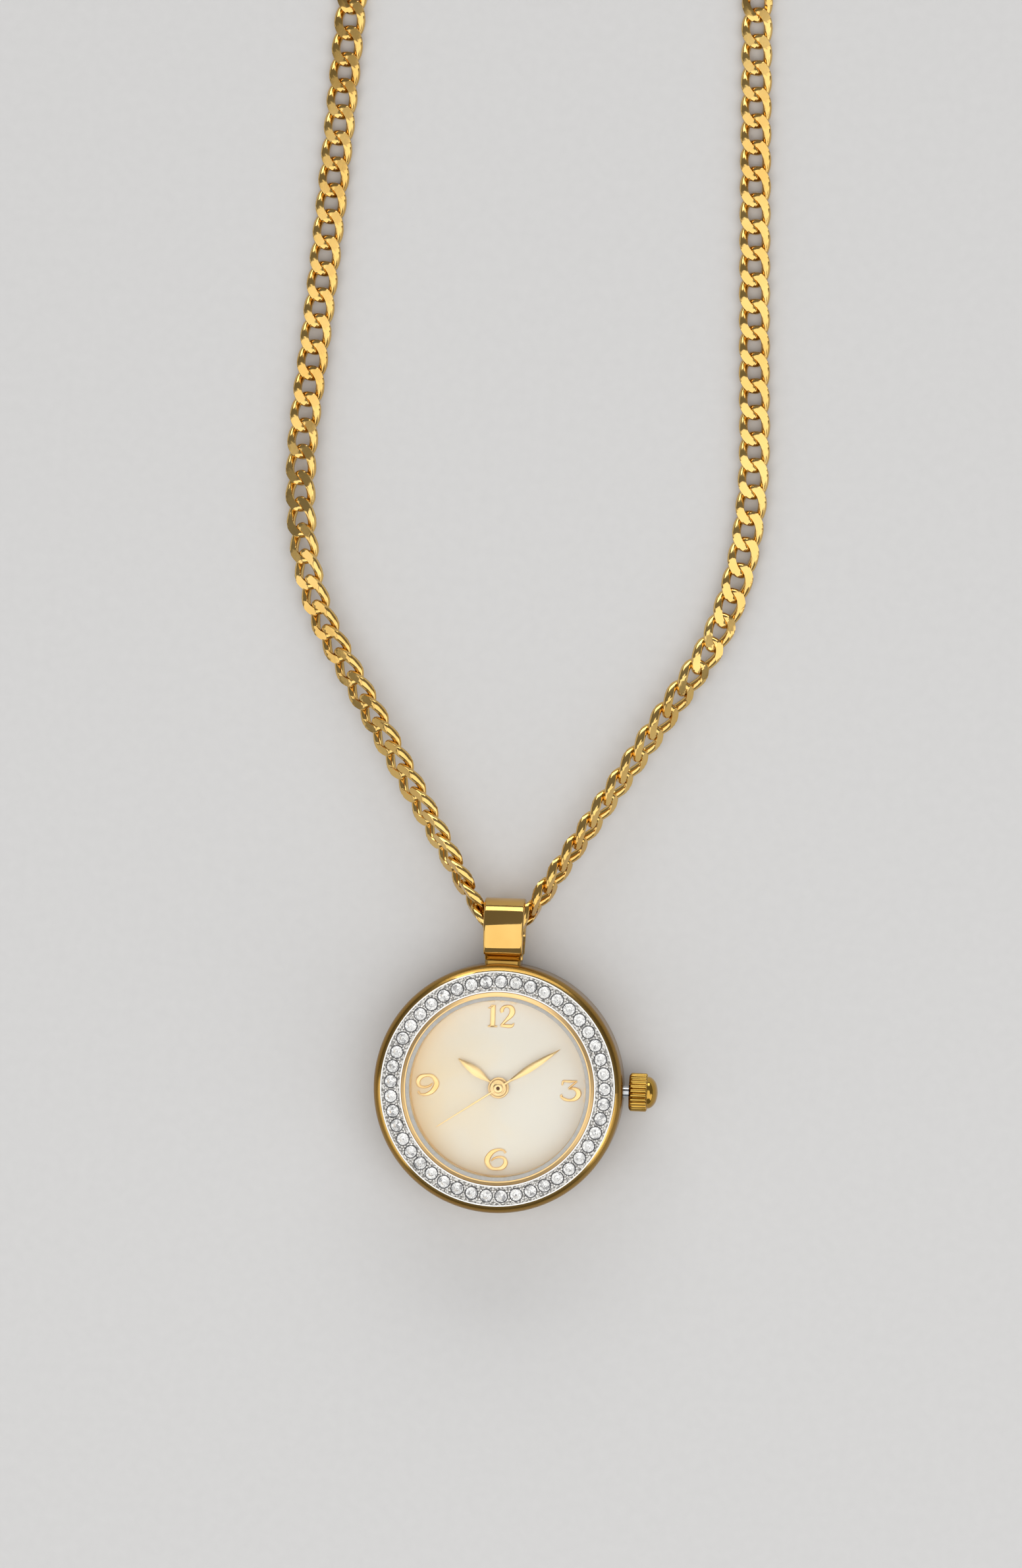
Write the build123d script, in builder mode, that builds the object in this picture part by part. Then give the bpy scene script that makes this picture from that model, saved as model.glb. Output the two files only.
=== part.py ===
from build123d import *
from math import copysign, cos, pi, radians, sin, sqrt
import os

# A lady's pendant watch lies on its back, in millimetres. The case back rests on z = 0, the dial
# faces +Z, 12 o'clock points to +Y and the crown to +X. The origin is the middle of the case back.

# Case: one turned body holds the glass, the stone ring and the movement
case_diameter = 26.0
case_radius = case_diameter / 2
case_bottom = 0.25
case_top = 6.85
case_edge_chamfer = 0.5
opening_radius = 9.15
flange_bottom = 4.55
glass_seat_height = 6.2
glass_seat_radius = 9.6
inner_wall_radius = 10.05
inner_wall_top = 7.1
inner_wall_slope = 0.25
ring_channel_radius = 12.25
ring_channel_floor = 5.75
movement_bore_radius = 10.4
fit_gap = 0.03
running_gap = 0.05
cut_overrun = 0.5

# Case back: a snap-on lid with a lip and a gasket
back_radius = 11.7
back_thickness = 0.7
back_edge_chamfer = 0.15
back_lip_height = 0.55
back_lip_wall = 0.4
back_notch_width = 2.4
back_notch_depth = 0.3
back_gasket_thickness = 0.25
back_gasket_width = 0.5

# Stone ring: a white ring of 45 round stones between milled rims
ring_height = 1.15
ring_rim_width = 0.16
ring_rim_drop = 0.12
stone_count = 45
stone_diameter = 1.28
stone_sides = 8
stone_orbit = (inner_wall_radius + ring_channel_radius) / 2
stone_table_share = 0.58
stone_crown_height = 0.2
stone_pavilion_height = 0.52
stone_stand = 0.06
stone_seat_depth = 0.66

# Glass and its gasket
glass_radius = 9.2
glass_thickness = 1.05
glass_edge_chamfer = 0.18
gasket_height = 0.85

# Dial, numerals and hands
dial_thickness = 0.3
dial_gap = 0.06
dial_hole_radius = 0.85
dial_foot_radius = 0.3
dial_foot_orbit = 6.9
dial_foot_length = 0.9
numeral_radius = 7.45
numeral_height = 0.15
numeral_stroke = 0.4
one_points = [(-1.3, 0.62), (-0.85, 0.94), (-0.85, -0.94)]
two_bow_points = [(0.02, 0.42), (0.38, 0.9), (0.98, 0.84), (1.12, 0.3), (0.05, -0.94)]
two_foot_points = [(0.05, -0.94), (1.3, -0.94)]
three_top_points = [(-0.8, 0.5), (-0.7, 0.84), (0.66, 0.84), (-0.2, 0.16)]
three_foot_points = [(-0.2, 0.16), (0.5, 0.12), (0.9, -0.32), (0.4, -0.8), (-0.3, -0.82), (-0.92, -0.5)]
bowl_size = (0.94, 0.6)
bowl_drop = 0.24
tail_points = [(-0.94, -0.24), (-0.5, 0.55), (0.7, 0.84)]
hour_length = 5.2
hour_width = 0.8
hour_hub_radius = 1.1
hour_angle = 304
minute_length = 7.5
minute_width = 0.65
minute_hub_radius = 0.8
minute_angle = 56
second_length = 7.6
second_width = 0.16
second_boss_radius = 0.85
second_pin_radius = 0.2
second_angle = 236
second_tail = 1.6
hand_thickness = 0.14
hour_level = 4.86
minute_level = 5.2
second_level = 5.52
hub_crown = 0.08

# Movement: a small quartz calibre, its back towards the case back
movement_radius = 8.9
movement_width = 15.3
movement_bottom = 1.05
board_thickness = 0.15
board_top_edge = -1.2
bridge_bottom = 1.3
bridge_thickness = 0.28
plate_bottom = 2.9
plate_thickness = 0.7
plate_top = plate_bottom + plate_thickness
holder_bottom = 1.35
holder_top = 4.05
pivot_radius = 0.08
arbor_radius = 0.13
wheel_thickness = 0.13
battery_diameter = 6.8
battery_height = 2.45
battery_place = (-4.6, 2.85)
battery_step_share = 0.86
battery_pocket_gap = 0.08
contact_thickness = 0.1
contact_width = 1.4
coil_place_y = -6.1
coil_length = 6.4
coil_radius = 0.75
coil_core_radius = 0.28
coil_centre_x = -1.6
coil_level = 2.1
stator_thickness = 0.22
stator_bottom = 2.42
stator_width = 1.3
quartz_radius = 0.7
quartz_length = 4.0
quartz_place = (3.4, -3.9)
quartz_level = 2.05
chip_size = (2.0, 1.6, 0.5)
chip_place = (-4.0, -3.0)
screw_head_radius = 0.5
screw_head_height = 0.24
screw_shank_radius = 0.25
screw_slot_width = 0.16
screw_slot_depth = 0.1
bridge_screws = [(3.9, -1.6), (-1.9, -3.6), (0.5, 3.0)]

# Going train: tooth counts, and the distance between the arbors of each pair
rotor_teeth, step_wheel_teeth = 6, 30
step_pinion_teeth, second_wheel_teeth = 7, 42
second_pinion_teeth, third_wheel_teeth = 8, 60
third_pinion_teeth, centre_wheel_teeth = 8, 64
rotor_distance = 1.7
step_distance = 1.9
third_distance = 2.0
third_bearing = 20
step_bearing = -80
rotor_bearing = -40
magnet_radius = 0.7
magnet_height = 0.4
magnet_bottom = 2.32
tooth_share = 0.9

# Motion work under the dial, and the setting train to the crown
cannon_teeth, minute_wheel_teeth = 12, 36
minute_pinion_teeth, hour_wheel_teeth = 10, 40
setting_teeth, sliding_teeth = 20, 12
minute_distance = 2.4
stud_radius = 0.15
stud_height = 0.5
minute_bearing = 30
motion_level = 3.66
hour_wheel_level = 3.92
second_arbor_radius = 0.15
centre_pipe_radius = 0.32
cannon_pipe_radius = 0.52
hour_pipe_radius = 0.75

# Crown, stem and keyless work; the crown is pulled out to set the hands
stem_level = 3.05
stem_radius = 0.3
crown_travel = 0.55
crown_gap = 0.57
crown_radius = 2.0
crown_grip_length = 1.5
crown_dome_radius = 1.8
crown_dome_length = 1.5
crown_flutes = 24
flute_depth = 0.16
tube_radius = 0.635
tube_wall = 0.2
tube_reach = 1.3
crown_gasket_length = 0.4
crown_recess_wall = 0.3
sliding_length = 1.1
sliding_radius = 0.68
sliding_groove_width = 0.35
sliding_groove_depth = 0.2
lever_thickness = 0.2
lever_pin_radius = 0.14
lever_groove_width = 0.4
lever_groove_radius = 0.16
lever_pivot = (7.2, 2.3)
lever_pin_x = 7.75
lever_width = 0.7

# Bail: a polished band that is soldered to a lug on the case
bail_top = 19.8
bail_foot = 13.25
bail_depth_front = 6.35
bail_depth_back = 0.4
bail_wall = 0.6
bail_waist_share = 0.38
bail_shoulder_share = 0.88
bail_round_share = 0.88
bail_width_top = 4.3
bail_width_foot = 4.05
bail_foot_depth = 4.3
lug_width = 3.75
lug_corner = 0.5
lug_bottom = 1.25

# Neck chain: flat curb links of round-edged wire
link_pitch = 2.78
wire_width = 0.64
wire_play_gap = 0.06
link_half_width = 1.32
link_square_share = 2.4
link_twist = 45
link_sides_shown = 8
link_sides_stored = 6
chain_route = [
    (-1.39, 14.95, 3.4),
    (-23.6, 53.4, 1.3),
    (-21.0, 88.0, 1.08),
    (-17.0, 160.0, 1.08),
    (-4.0, 160.0, 1.08),
    (-4.0, 120.0, 1.08),
    (9.0, 120.0, 1.08),
    (9.0, 160.0, 1.08),
    (22.0, 160.0, 1.08),
    (23.5, 86.0, 1.08),
    (23.9, 52.0, 1.3),
    (1.39, 14.95, 3.4),
]
chain_bends = [40.0, 60.0, 6.4, 6.4, 6.4, 6.4, 6.4, 6.4, 60.0, 40.0]
left_rolls = [(0.0, 90), (3.0, 106), (9.0, 80), (25.0, 20), (42.0, 0)]
right_rolls = [(2.8, 100), (5.6, 62), (9.0, 62), (25.0, 50), (42.0, 35), (60.0, 0)]
clasp_run_start = 171.0
clasp_span_links = 5

# Lobster clasp and its two rings
clasp_width = 4.8
clasp_thickness = 0.95
clasp_level = 0.85
clasp_wall = 0.72
clasp_eye_radius = 0.75
clasp_eye_wall = 0.45
clasp_eye_offset = 2.1
clasp_neck = 1.6
clasp_gate_length = 4.0
clasp_hinge_reach = 1.6
clasp_pin_radius = 0.25
clasp_tongue = 0.35
lever_clearance = 0.08
ring_radius = 1.6
ring_wire_radius = 0.24
ring_level = 1.87
ring_offset = 0.6

os.makedirs("parts", exist_ok=True)


def finish(piece, name):
    """Labels a finished piece and writes it out."""
    piece.label = name
    export_step(piece, "parts/" + name + ".step")


def polar(distance, bearing):
    """A place at a distance and an angle from +X."""
    return (distance * cos(radians(bearing)), distance * sin(radians(bearing)))


def bored_disc(inner, outer, bottom, top):
    """A plain ring, or a disc where inner is zero."""
    with BuildPart() as disc:
        with BuildSketch(Plane.XY.offset(bottom)):
            Circle(outer)
            if inner:
                Circle(inner, mode=Mode.SUBTRACT)
        extrude(amount=top - bottom)
    return disc.part


def toothed(teeth, pitch_radius, bottom, top, bore=0):
    """A wheel whose pointed teeth stand a little past its pitch circle."""
    depth = pi * pitch_radius / teeth * tooth_share
    with BuildPart() as wheel:
        with BuildSketch(Plane.XY.offset(bottom)):
            with BuildLine():
                points = []
                for i in range(teeth):
                    points.append(polar(pitch_radius + depth / 2, 360 * i / teeth))
                    points.append(polar(pitch_radius - depth / 2, 360 * (i + 1 / 2) / teeth))
                Polyline(*points, close=True)
            make_face()
            if bore:
                Circle(bore, mode=Mode.SUBTRACT)
        extrude(amount=top - bottom)
    return wheel.part


# Case middle, turned, with the lug for the bail and the hole for the crown tube
back_recess_radius = back_radius + fit_gap
back_recess_top = back_thickness + fit_gap
lug_top = lug_bottom + bail_foot_depth
with BuildPart() as case_middle:
    with BuildSketch(Plane.XZ):
        with BuildLine():
            rim_start = (case_radius, case_top - ring_height)
            rim_end = (ring_channel_radius, case_top)
            TangentArc(rim_start, rim_end, tangent=(0, 1))
            Polyline(
                rim_end,
                (ring_channel_radius, ring_channel_floor),
                (inner_wall_radius, ring_channel_floor),
                (inner_wall_radius, inner_wall_top - inner_wall_slope),
                (glass_seat_radius + inner_wall_slope / 2, inner_wall_top),
                (glass_seat_radius, inner_wall_top),
                (glass_seat_radius, glass_seat_height),
                (opening_radius, glass_seat_height),
                (opening_radius, flange_bottom),
                (movement_bore_radius, flange_bottom),
                (movement_bore_radius, back_recess_top),
                (back_recess_radius, back_recess_top),
                (back_recess_radius, case_bottom),
                (case_radius - case_edge_chamfer, case_bottom),
                (case_radius, case_bottom + case_edge_chamfer),
                rim_start,
            )
        make_face()
    revolve(axis=Axis.Z)
    with BuildSketch(Plane.XZ.offset(-bail_foot)):
        with Locations((0, (lug_bottom + lug_top) / 2)):
            RectangleRounded(lug_width, bail_foot_depth, lug_corner)
    extrude(amount=bail_foot - ring_channel_radius)
    with BuildSketch(Plane.YZ.offset(movement_bore_radius - cut_overrun)):
        with Locations((0, stem_level)):
            Circle(tube_radius + fit_gap)
    extrude(amount=case_radius, mode=Mode.SUBTRACT)
    gasket_inner = movement_bore_radius + back_gasket_width
    gasket_outer = gasket_inner + back_gasket_width
    with BuildSketch(Plane.XY.offset(back_recess_top)):
        Circle(gasket_outer)
        Circle(gasket_inner, mode=Mode.SUBTRACT)
    extrude(amount=back_gasket_thickness, mode=Mode.SUBTRACT)
finish(case_middle.part, "case_middle")

# Case back: a lid whose lip snaps into the bore, with a notch for the case knife
lip_outer = movement_bore_radius - fit_gap
with BuildPart() as case_back:
    Cylinder(back_radius, back_thickness, align=(Align.CENTER, Align.CENTER, Align.MIN))
    chamfer(case_back.edges().group_by(Axis.Z)[0], back_edge_chamfer)
    with BuildSketch(Plane.XY.offset(back_thickness)):
        Circle(lip_outer)
        Circle(lip_outer - back_lip_wall, mode=Mode.SUBTRACT)
    extrude(amount=back_lip_height)
    with Locations((0, -back_radius, 0)):
        Box(back_notch_width, 2 * back_notch_depth, 2 * back_notch_depth, mode=Mode.SUBTRACT)
finish(case_back.part, "case_back")

gasket_sides = (gasket_inner + fit_gap / 2, gasket_outer - fit_gap / 2)
back_gasket = bored_disc(*gasket_sides, back_thickness, back_recess_top + back_gasket_thickness)
finish(back_gasket, "back_gasket")


# Stone ring, with a conical seat under each stone
def stone_places():
    """The places round the ring, each turned to face outwards."""
    return PolarLocations(stone_orbit, stone_count, start_angle=90)


def cut_stone(radius, girdle, table, depth):
    """A round brilliant in flat faces: a table, a crown of facets and a pointed pavilion."""
    wide = [Vector(*polar(radius, 360 * i / stone_sides), girdle) for i in range(stone_sides)]
    narrow = [
        Vector(*polar(radius * stone_table_share, 360 * i / stone_sides), table)
        for i in range(stone_sides)
    ]
    tip = Vector(0, 0, girdle - depth)
    faces = [Face(Wire.make_polygon(narrow))]
    for i in range(stone_sides):
        j = (i + 1) % stone_sides
        faces.append(Face(Wire.make_polygon([wide[i], wide[j], narrow[j], narrow[i]])))
        faces.append(Face(Wire.make_polygon([tip, wide[j], wide[i]])))
    return Solid(Shell(faces))


ring_bottom = ring_channel_floor
ring_top = ring_bottom + ring_height
ring_floor = ring_top - ring_rim_drop
girdle_level = ring_floor + stone_stand
stone_radius = stone_diameter / 2
ring_inner = inner_wall_radius + fit_gap
ring_outer = ring_channel_radius - fit_gap
with BuildPart() as stone_ring:
    with BuildSketch(Plane.XZ):
        with BuildLine():
            Polyline(
                (ring_inner, ring_bottom),
                (ring_outer, ring_bottom),
                (ring_outer, ring_top),
                (ring_outer - ring_rim_width, ring_top),
                (ring_outer - ring_rim_width, ring_floor),
                (ring_inner + ring_rim_width, ring_floor),
                (ring_inner + ring_rim_width, ring_top),
                (ring_inner, ring_top),
                close=True,
            )
        make_face()
    revolve(axis=Axis.Z)
    seat = cut_stone(stone_radius + fit_gap, ring_floor, ring_floor + stone_stand, stone_seat_depth)
    add([place * seat for place in stone_places()], mode=Mode.SUBTRACT)
finish(stone_ring.part, "stone_ring")

stone = cut_stone(stone_radius, girdle_level, girdle_level + stone_crown_height, stone_pavilion_height)
finish(Compound([place * stone for place in stone_places()]), "ring_stones")

# Glass, held by a grey gasket in the mouth of the case
glass_top = glass_seat_height + glass_thickness
with BuildPart() as glass:
    with BuildSketch(Plane.XY.offset(glass_seat_height)):
        Circle(glass_radius)
    extrude(amount=glass_thickness)
    chamfer(glass.edges().group_by(Axis.Z)[-1], glass_edge_chamfer)
finish(glass.part, "glass")

gasket_top = glass_seat_height + gasket_height
seat_sides = (glass_radius + fit_gap / 2, glass_seat_radius - fit_gap / 2)
glass_gasket = bored_disc(*seat_sides, glass_seat_height, gasket_top)
finish(glass_gasket, "glass_gasket")

# Dial, a thin disc whose two feet go into the main plate
dial_top = flange_bottom - fit_gap
dial_bottom = dial_top - dial_thickness
dial_radius = movement_bore_radius - running_gap
dial_foot_places = [polar(dial_foot_orbit, bearing) for bearing in (80, -100)]
with BuildPart() as dial:
    with BuildSketch(Plane.XY.offset(dial_bottom)):
        Circle(dial_radius)
        Circle(dial_hole_radius, mode=Mode.SUBTRACT)
    extrude(amount=dial_thickness)
    with BuildSketch(Plane.XY.offset(dial_bottom)):
        with Locations(*dial_foot_places):
            Circle(dial_foot_radius)
    extrude(amount=-dial_foot_length - dial_gap)
finish(dial.part, "dial")


# Numerals: applied figures in an open old-style face
def stroke(line, width):
    """A figure's stroke of one width along a line."""
    trace(line, line_width=width)


def numeral_plane(x, y):
    """The plane on the dial where a figure is drawn."""
    return Plane(origin=(x, y, dial_top))


with BuildPart() as numeral_12:
    with BuildSketch(numeral_plane(0, numeral_radius)):
        with BuildLine() as one:
            Polyline(*one_points)
        stroke(one.line, numeral_stroke)
        with BuildLine() as two_bow:
            Spline(*two_bow_points)
        stroke(two_bow.line, numeral_stroke)
        with BuildLine() as two_foot:
            Polyline(*two_foot_points)
        stroke(two_foot.line, numeral_stroke)
    extrude(amount=numeral_height)
finish(numeral_12.part, "numeral_12")

with BuildPart() as numeral_3:
    with BuildSketch(numeral_plane(numeral_radius, 0)):
        with BuildLine() as three_top:
            Polyline(*three_top_points)
        stroke(three_top.line, numeral_stroke)
        with BuildLine() as three_foot:
            Spline(*three_foot_points)
        stroke(three_foot.line, numeral_stroke)
    extrude(amount=numeral_height)
finish(numeral_3.part, "numeral_3")


def ring_numeral(turn):
    """A bowl with a tail that sweeps over it: a 6, and a 9 when turned half round."""
    half_stroke = numeral_stroke / 2
    with BuildSketch() as figure:
        with Locations((0, -bowl_drop)):
            Ellipse(bowl_size[0] + half_stroke, bowl_size[1] + half_stroke)
            Ellipse(bowl_size[0] - half_stroke, bowl_size[1] - half_stroke, mode=Mode.SUBTRACT)
        with BuildLine() as tail:
            Spline(*tail_points)
        stroke(tail.line, numeral_stroke)
    return figure.sketch.rotate(Axis.Z, turn)


with BuildPart() as numeral_6:
    extrude(numeral_plane(0, -numeral_radius) * ring_numeral(0), amount=numeral_height)
finish(numeral_6.part, "numeral_6")

with BuildPart() as numeral_9:
    extrude(numeral_plane(-numeral_radius, 0) * ring_numeral(180), amount=numeral_height)
finish(numeral_9.part, "numeral_9")


# Hands: leaf-shaped, each turned clockwise from 12 about the dial's middle
def hand_plane(level, clockwise):
    """A plane at the hand's level whose Y axis points along the hand."""
    return Plane.XY.offset(level).rotated((0, 0, -clockwise))


def leaf_hand(level, clockwise, length, width, hub, bore):
    """A leaf from the hub to a point, widest near its first third."""
    with BuildPart() as hand:
        with BuildSketch(hand_plane(level, clockwise)):
            with BuildLine():
                waist = width / 4
                widest = hub + (length - hub) * 2 / 5
                Spline((waist, hub / 2), (width / 2, widest), (0, length))
                Spline((0, length), (-width / 2, widest), (-waist, hub / 2))
                Line((-waist, hub / 2), (waist, hub / 2))
            make_face()
            Circle(hub)
            Circle(bore, mode=Mode.SUBTRACT)
        extrude(amount=hand_thickness)
    return hand.part


hour_hand = leaf_hand(
    hour_level, hour_angle, hour_length, hour_width, hour_hub_radius, hour_pipe_radius
)
finish(hour_hand, "hour_hand")
minute_hand = leaf_hand(
    minute_level, minute_angle, minute_length, minute_width, minute_hub_radius, cannon_pipe_radius
)
finish(minute_hand, "minute_hand")

with BuildPart() as second_hand:
    with BuildSketch(hand_plane(second_level, second_angle)):
        Circle(second_boss_radius)
        with Locations((0, (second_length - second_tail) / 2)):
            Rectangle(second_width, second_length + second_tail)
    extrude(amount=hand_thickness)
    with BuildSketch(hand_plane(second_level, second_angle)):
        Circle(second_pin_radius * 2)
    extrude(amount=hand_thickness + hub_crown)
    with BuildSketch(hand_plane(second_level, second_angle)):
        Circle(second_arbor_radius)
    extrude(amount=hand_thickness + hub_crown, mode=Mode.SUBTRACT)
finish(second_hand.part, "second_hand")


# Movement plates
def calibre_outline(inset):
    """The calibre's outline: a circle with its top and bottom cut straight."""
    with BuildSketch() as outline:
        Circle(movement_radius - inset)
        Rectangle(2 * movement_radius, movement_width - 2 * inset, mode=Mode.INTERSECT)
    return outline.sketch


third_place = polar(third_distance, third_bearing)
step_place = polar(step_distance, step_bearing)
rotor_offset = polar(rotor_distance, rotor_bearing)
rotor_place = (step_place[0] + rotor_offset[0], step_place[1] + rotor_offset[1])
minute_place = polar(minute_distance, minute_bearing)
setting_sum = minute_wheel_teeth + setting_teeth
setting_distance = minute_distance * setting_sum / (cannon_teeth + minute_wheel_teeth)
setting_radius = setting_distance * setting_teeth / setting_sum
setting_place = (minute_place[0] + sqrt(setting_distance**2 - minute_place[1] ** 2), 0)
sliding_start = setting_place[0] + setting_radius + running_gap * 2
stem_notch_start = sliding_start - crown_travel - cut_overrun
stem_notch_width = 2 * (sliding_radius + running_gap * 2)
bridge_top = bridge_bottom + bridge_thickness

with BuildPart() as main_plate:
    extrude(Plane.XY.offset(plate_bottom) * calibre_outline(0), amount=plate_thickness)
    with BuildSketch(Plane.XY.offset(plate_bottom)):
        with Locations(battery_place):
            Circle(battery_diameter / 2 + battery_pocket_gap)
        Circle(centre_pipe_radius + running_gap)
        with Locations(third_place, step_place, rotor_place):
            Circle(pivot_radius + fit_gap)
        with Locations(*dial_foot_places):
            Circle(dial_foot_radius + fit_gap)
        with Locations(*bridge_screws):
            Circle(screw_shank_radius + fit_gap)
    extrude(amount=plate_thickness, mode=Mode.SUBTRACT)
    slot_top = stem_level + stem_radius + running_gap
    with BuildSketch(Plane.XY.offset(plate_bottom)):
        with Locations((sliding_start + movement_radius / 2 - running_gap, 0)):
            Rectangle(movement_radius, stem_notch_width)
    extrude(amount=plate_thickness, mode=Mode.SUBTRACT)
    with BuildSketch(Plane.XY.offset(plate_bottom)):
        with Locations(((stem_notch_start + sliding_start) / 2, 0)):
            Rectangle(sliding_start - stem_notch_start, 2 * (stem_radius + running_gap))
    extrude(amount=slot_top - plate_bottom, mode=Mode.SUBTRACT)
    with BuildSketch(Plane.XY.offset(plate_top)):
        with Locations(minute_place, setting_place):
            Circle(stud_radius)
    extrude(amount=stud_height)
finish(main_plate.part, "main_plate")

with BuildPart() as movement_holder:
    with BuildSketch(Plane.XY.offset(holder_bottom)):
        Circle(movement_bore_radius - running_gap)
        add(calibre_outline(-running_gap), mode=Mode.SUBTRACT)
    extrude(amount=holder_top - holder_bottom)
    with BuildSketch(Plane.YZ.offset(movement_radius - 2 * cut_overrun)):
        with Locations((0, stem_level)):
            Circle(stem_radius + lever_clearance)
    extrude(amount=movement_radius, mode=Mode.SUBTRACT)
finish(movement_holder.part, "movement_holder")

with BuildPart() as train_bridge:
    with BuildSketch(Plane.XY.offset(bridge_bottom)):
        with Locations((0, 0), third_place, step_place, rotor_place, *bridge_screws):
            Circle(screw_head_radius + running_gap)
        make_hull()
        with Locations((0, 0)):
            Circle(second_arbor_radius + fit_gap, mode=Mode.SUBTRACT)
        with Locations(third_place, step_place, rotor_place):
            Circle(pivot_radius + fit_gap, mode=Mode.SUBTRACT)
        with Locations(*bridge_screws):
            Circle(screw_shank_radius + fit_gap, mode=Mode.SUBTRACT)
    extrude(amount=bridge_thickness)
finish(train_bridge.part, "train_bridge")

with BuildPart() as bridge_screw:
    with BuildSketch(Plane.XY.offset(bridge_bottom - screw_head_height)):
        Circle(screw_head_radius)
    extrude(amount=screw_head_height)
    with BuildSketch(Plane.XY.offset(bridge_bottom)):
        Circle(screw_shank_radius)
    extrude(amount=plate_top - bridge_bottom)
    with BuildSketch(Plane.XY.offset(bridge_bottom - screw_head_height)):
        Rectangle(2 * screw_head_radius, screw_slot_width)
    extrude(amount=screw_slot_depth, mode=Mode.SUBTRACT)
screws = [Location((x, y, 0)) * bridge_screw.part.solid() for x, y in bridge_screws]
finish(Compound(screws), "bridge_screws")

# Electronics: the board, its chip, the crystal, the coil, the stator and the battery
with BuildPart() as circuit_board:
    with BuildSketch(Plane.XY.offset(movement_bottom)):
        add(calibre_outline(2 * battery_pocket_gap))
        with Locations((0, board_top_edge - movement_radius / 2)):
            Rectangle(2 * movement_radius, movement_radius, mode=Mode.INTERSECT)
        with Locations(*bridge_screws):
            Circle(screw_head_radius + battery_pocket_gap, mode=Mode.SUBTRACT)
    extrude(amount=board_thickness)
finish(circuit_board.part, "circuit_board")

board_top = movement_bottom + board_thickness
with BuildPart() as timing_chip:
    with Locations((*chip_place, board_top)):
        Box(*chip_size, align=(Align.CENTER, Align.CENTER, Align.MIN))
finish(timing_chip.part, "timing_chip")

with BuildPart() as quartz_crystal:
    with BuildSketch(Plane.YZ.offset(quartz_place[0])):
        with Locations((quartz_place[1], quartz_level)):
            Circle(quartz_radius)
    extrude(amount=quartz_length)
finish(quartz_crystal.part, "quartz_crystal")

core_overhang = coil_length / 8
with BuildPart() as coil_core:
    with Locations((coil_centre_x, coil_place_y, coil_level)):
        Box(coil_length + 2 * core_overhang, 2 * coil_core_radius, 2 * coil_core_radius)
finish(coil_core.part, "coil_core")

with BuildPart() as coil_winding:
    with BuildSketch(Plane.YZ.offset(coil_centre_x - coil_length / 2)):
        with Locations((coil_place_y, coil_level)):
            Circle(coil_radius)
            Rectangle(2 * coil_core_radius, 2 * coil_core_radius, mode=Mode.SUBTRACT)
    extrude(amount=coil_length)
finish(coil_winding.part, "coil_winding")

stator_arm = core_overhang - running_gap
stator_half = coil_length / 2 + running_gap + stator_arm / 2
stator_mid_y = (rotor_place[1] + coil_place_y) / 2
with BuildPart() as stator:
    with BuildSketch(Plane.XY.offset(stator_bottom)):
        for side in (-1, 1):
            with Locations((coil_centre_x + side * stator_half, (coil_place_y + stator_mid_y) / 2)):
                Rectangle(stator_arm, stator_mid_y - coil_place_y + stator_arm)
        with Locations((coil_centre_x, stator_mid_y)):
            Rectangle(coil_length + 2 * core_overhang, stator_arm)
        with Locations(rotor_place):
            Circle(stator_width)
            Circle(magnet_radius + running_gap * 2, mode=Mode.SUBTRACT)
    extrude(amount=stator_thickness)
finish(stator.part, "stator")

battery_top = movement_bottom + battery_height
with BuildPart() as battery:
    with Locations((*battery_place, movement_bottom)):
        Cylinder(
            battery_diameter / 2,
            battery_height * battery_step_share,
            align=(Align.CENTER, Align.CENTER, Align.MIN),
        )
        Cylinder(
            battery_diameter / 2 * battery_step_share,
            battery_height,
            align=(Align.CENTER, Align.CENTER, Align.MIN),
        )
finish(battery.part, "battery")

with BuildPart() as battery_clip:
    with BuildSketch(Plane.XY.offset(movement_bottom - contact_thickness - fit_gap)):
        with BuildLine() as clip_line:
            clip_foot = (chip_place[0], board_top_edge - contact_width)
            Polyline(battery_place, (battery_place[0], 0), clip_foot)
        trace(clip_line.line, line_width=contact_width)
    extrude(amount=contact_thickness)
finish(battery_clip.part, "battery_clip")


# Going train: each wheel and its pinion turn as one on a steel arbor
def wheel_and_pinion(place, wheel, wheel_radius, wheel_bottom, pinion, pinion_radius, pinion_span):
    """A brass wheel, its pinion and the arbor that runs between the bridge and the plate."""
    with BuildPart() as arbor:
        with BuildSketch(Plane.XY.offset(bridge_bottom + running_gap)):
            Circle(pivot_radius)
        extrude(amount=plate_bottom + plate_thickness / 2 - bridge_bottom)
        with BuildSketch(Plane.XY.offset(bridge_top + running_gap)):
            Circle(arbor_radius)
        extrude(amount=max(wheel_bottom, pinion_span[1]) - bridge_top - running_gap)
        add(toothed(wheel, wheel_radius, wheel_bottom, wheel_bottom + wheel_thickness))
        add(toothed(pinion, pinion_radius, *pinion_span))
    return Location((*place, 0)) * arbor.part


def share_of(distance, teeth, other):
    """The pitch radius of one wheel of a meshing pair."""
    return distance * teeth / (teeth + other)


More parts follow.
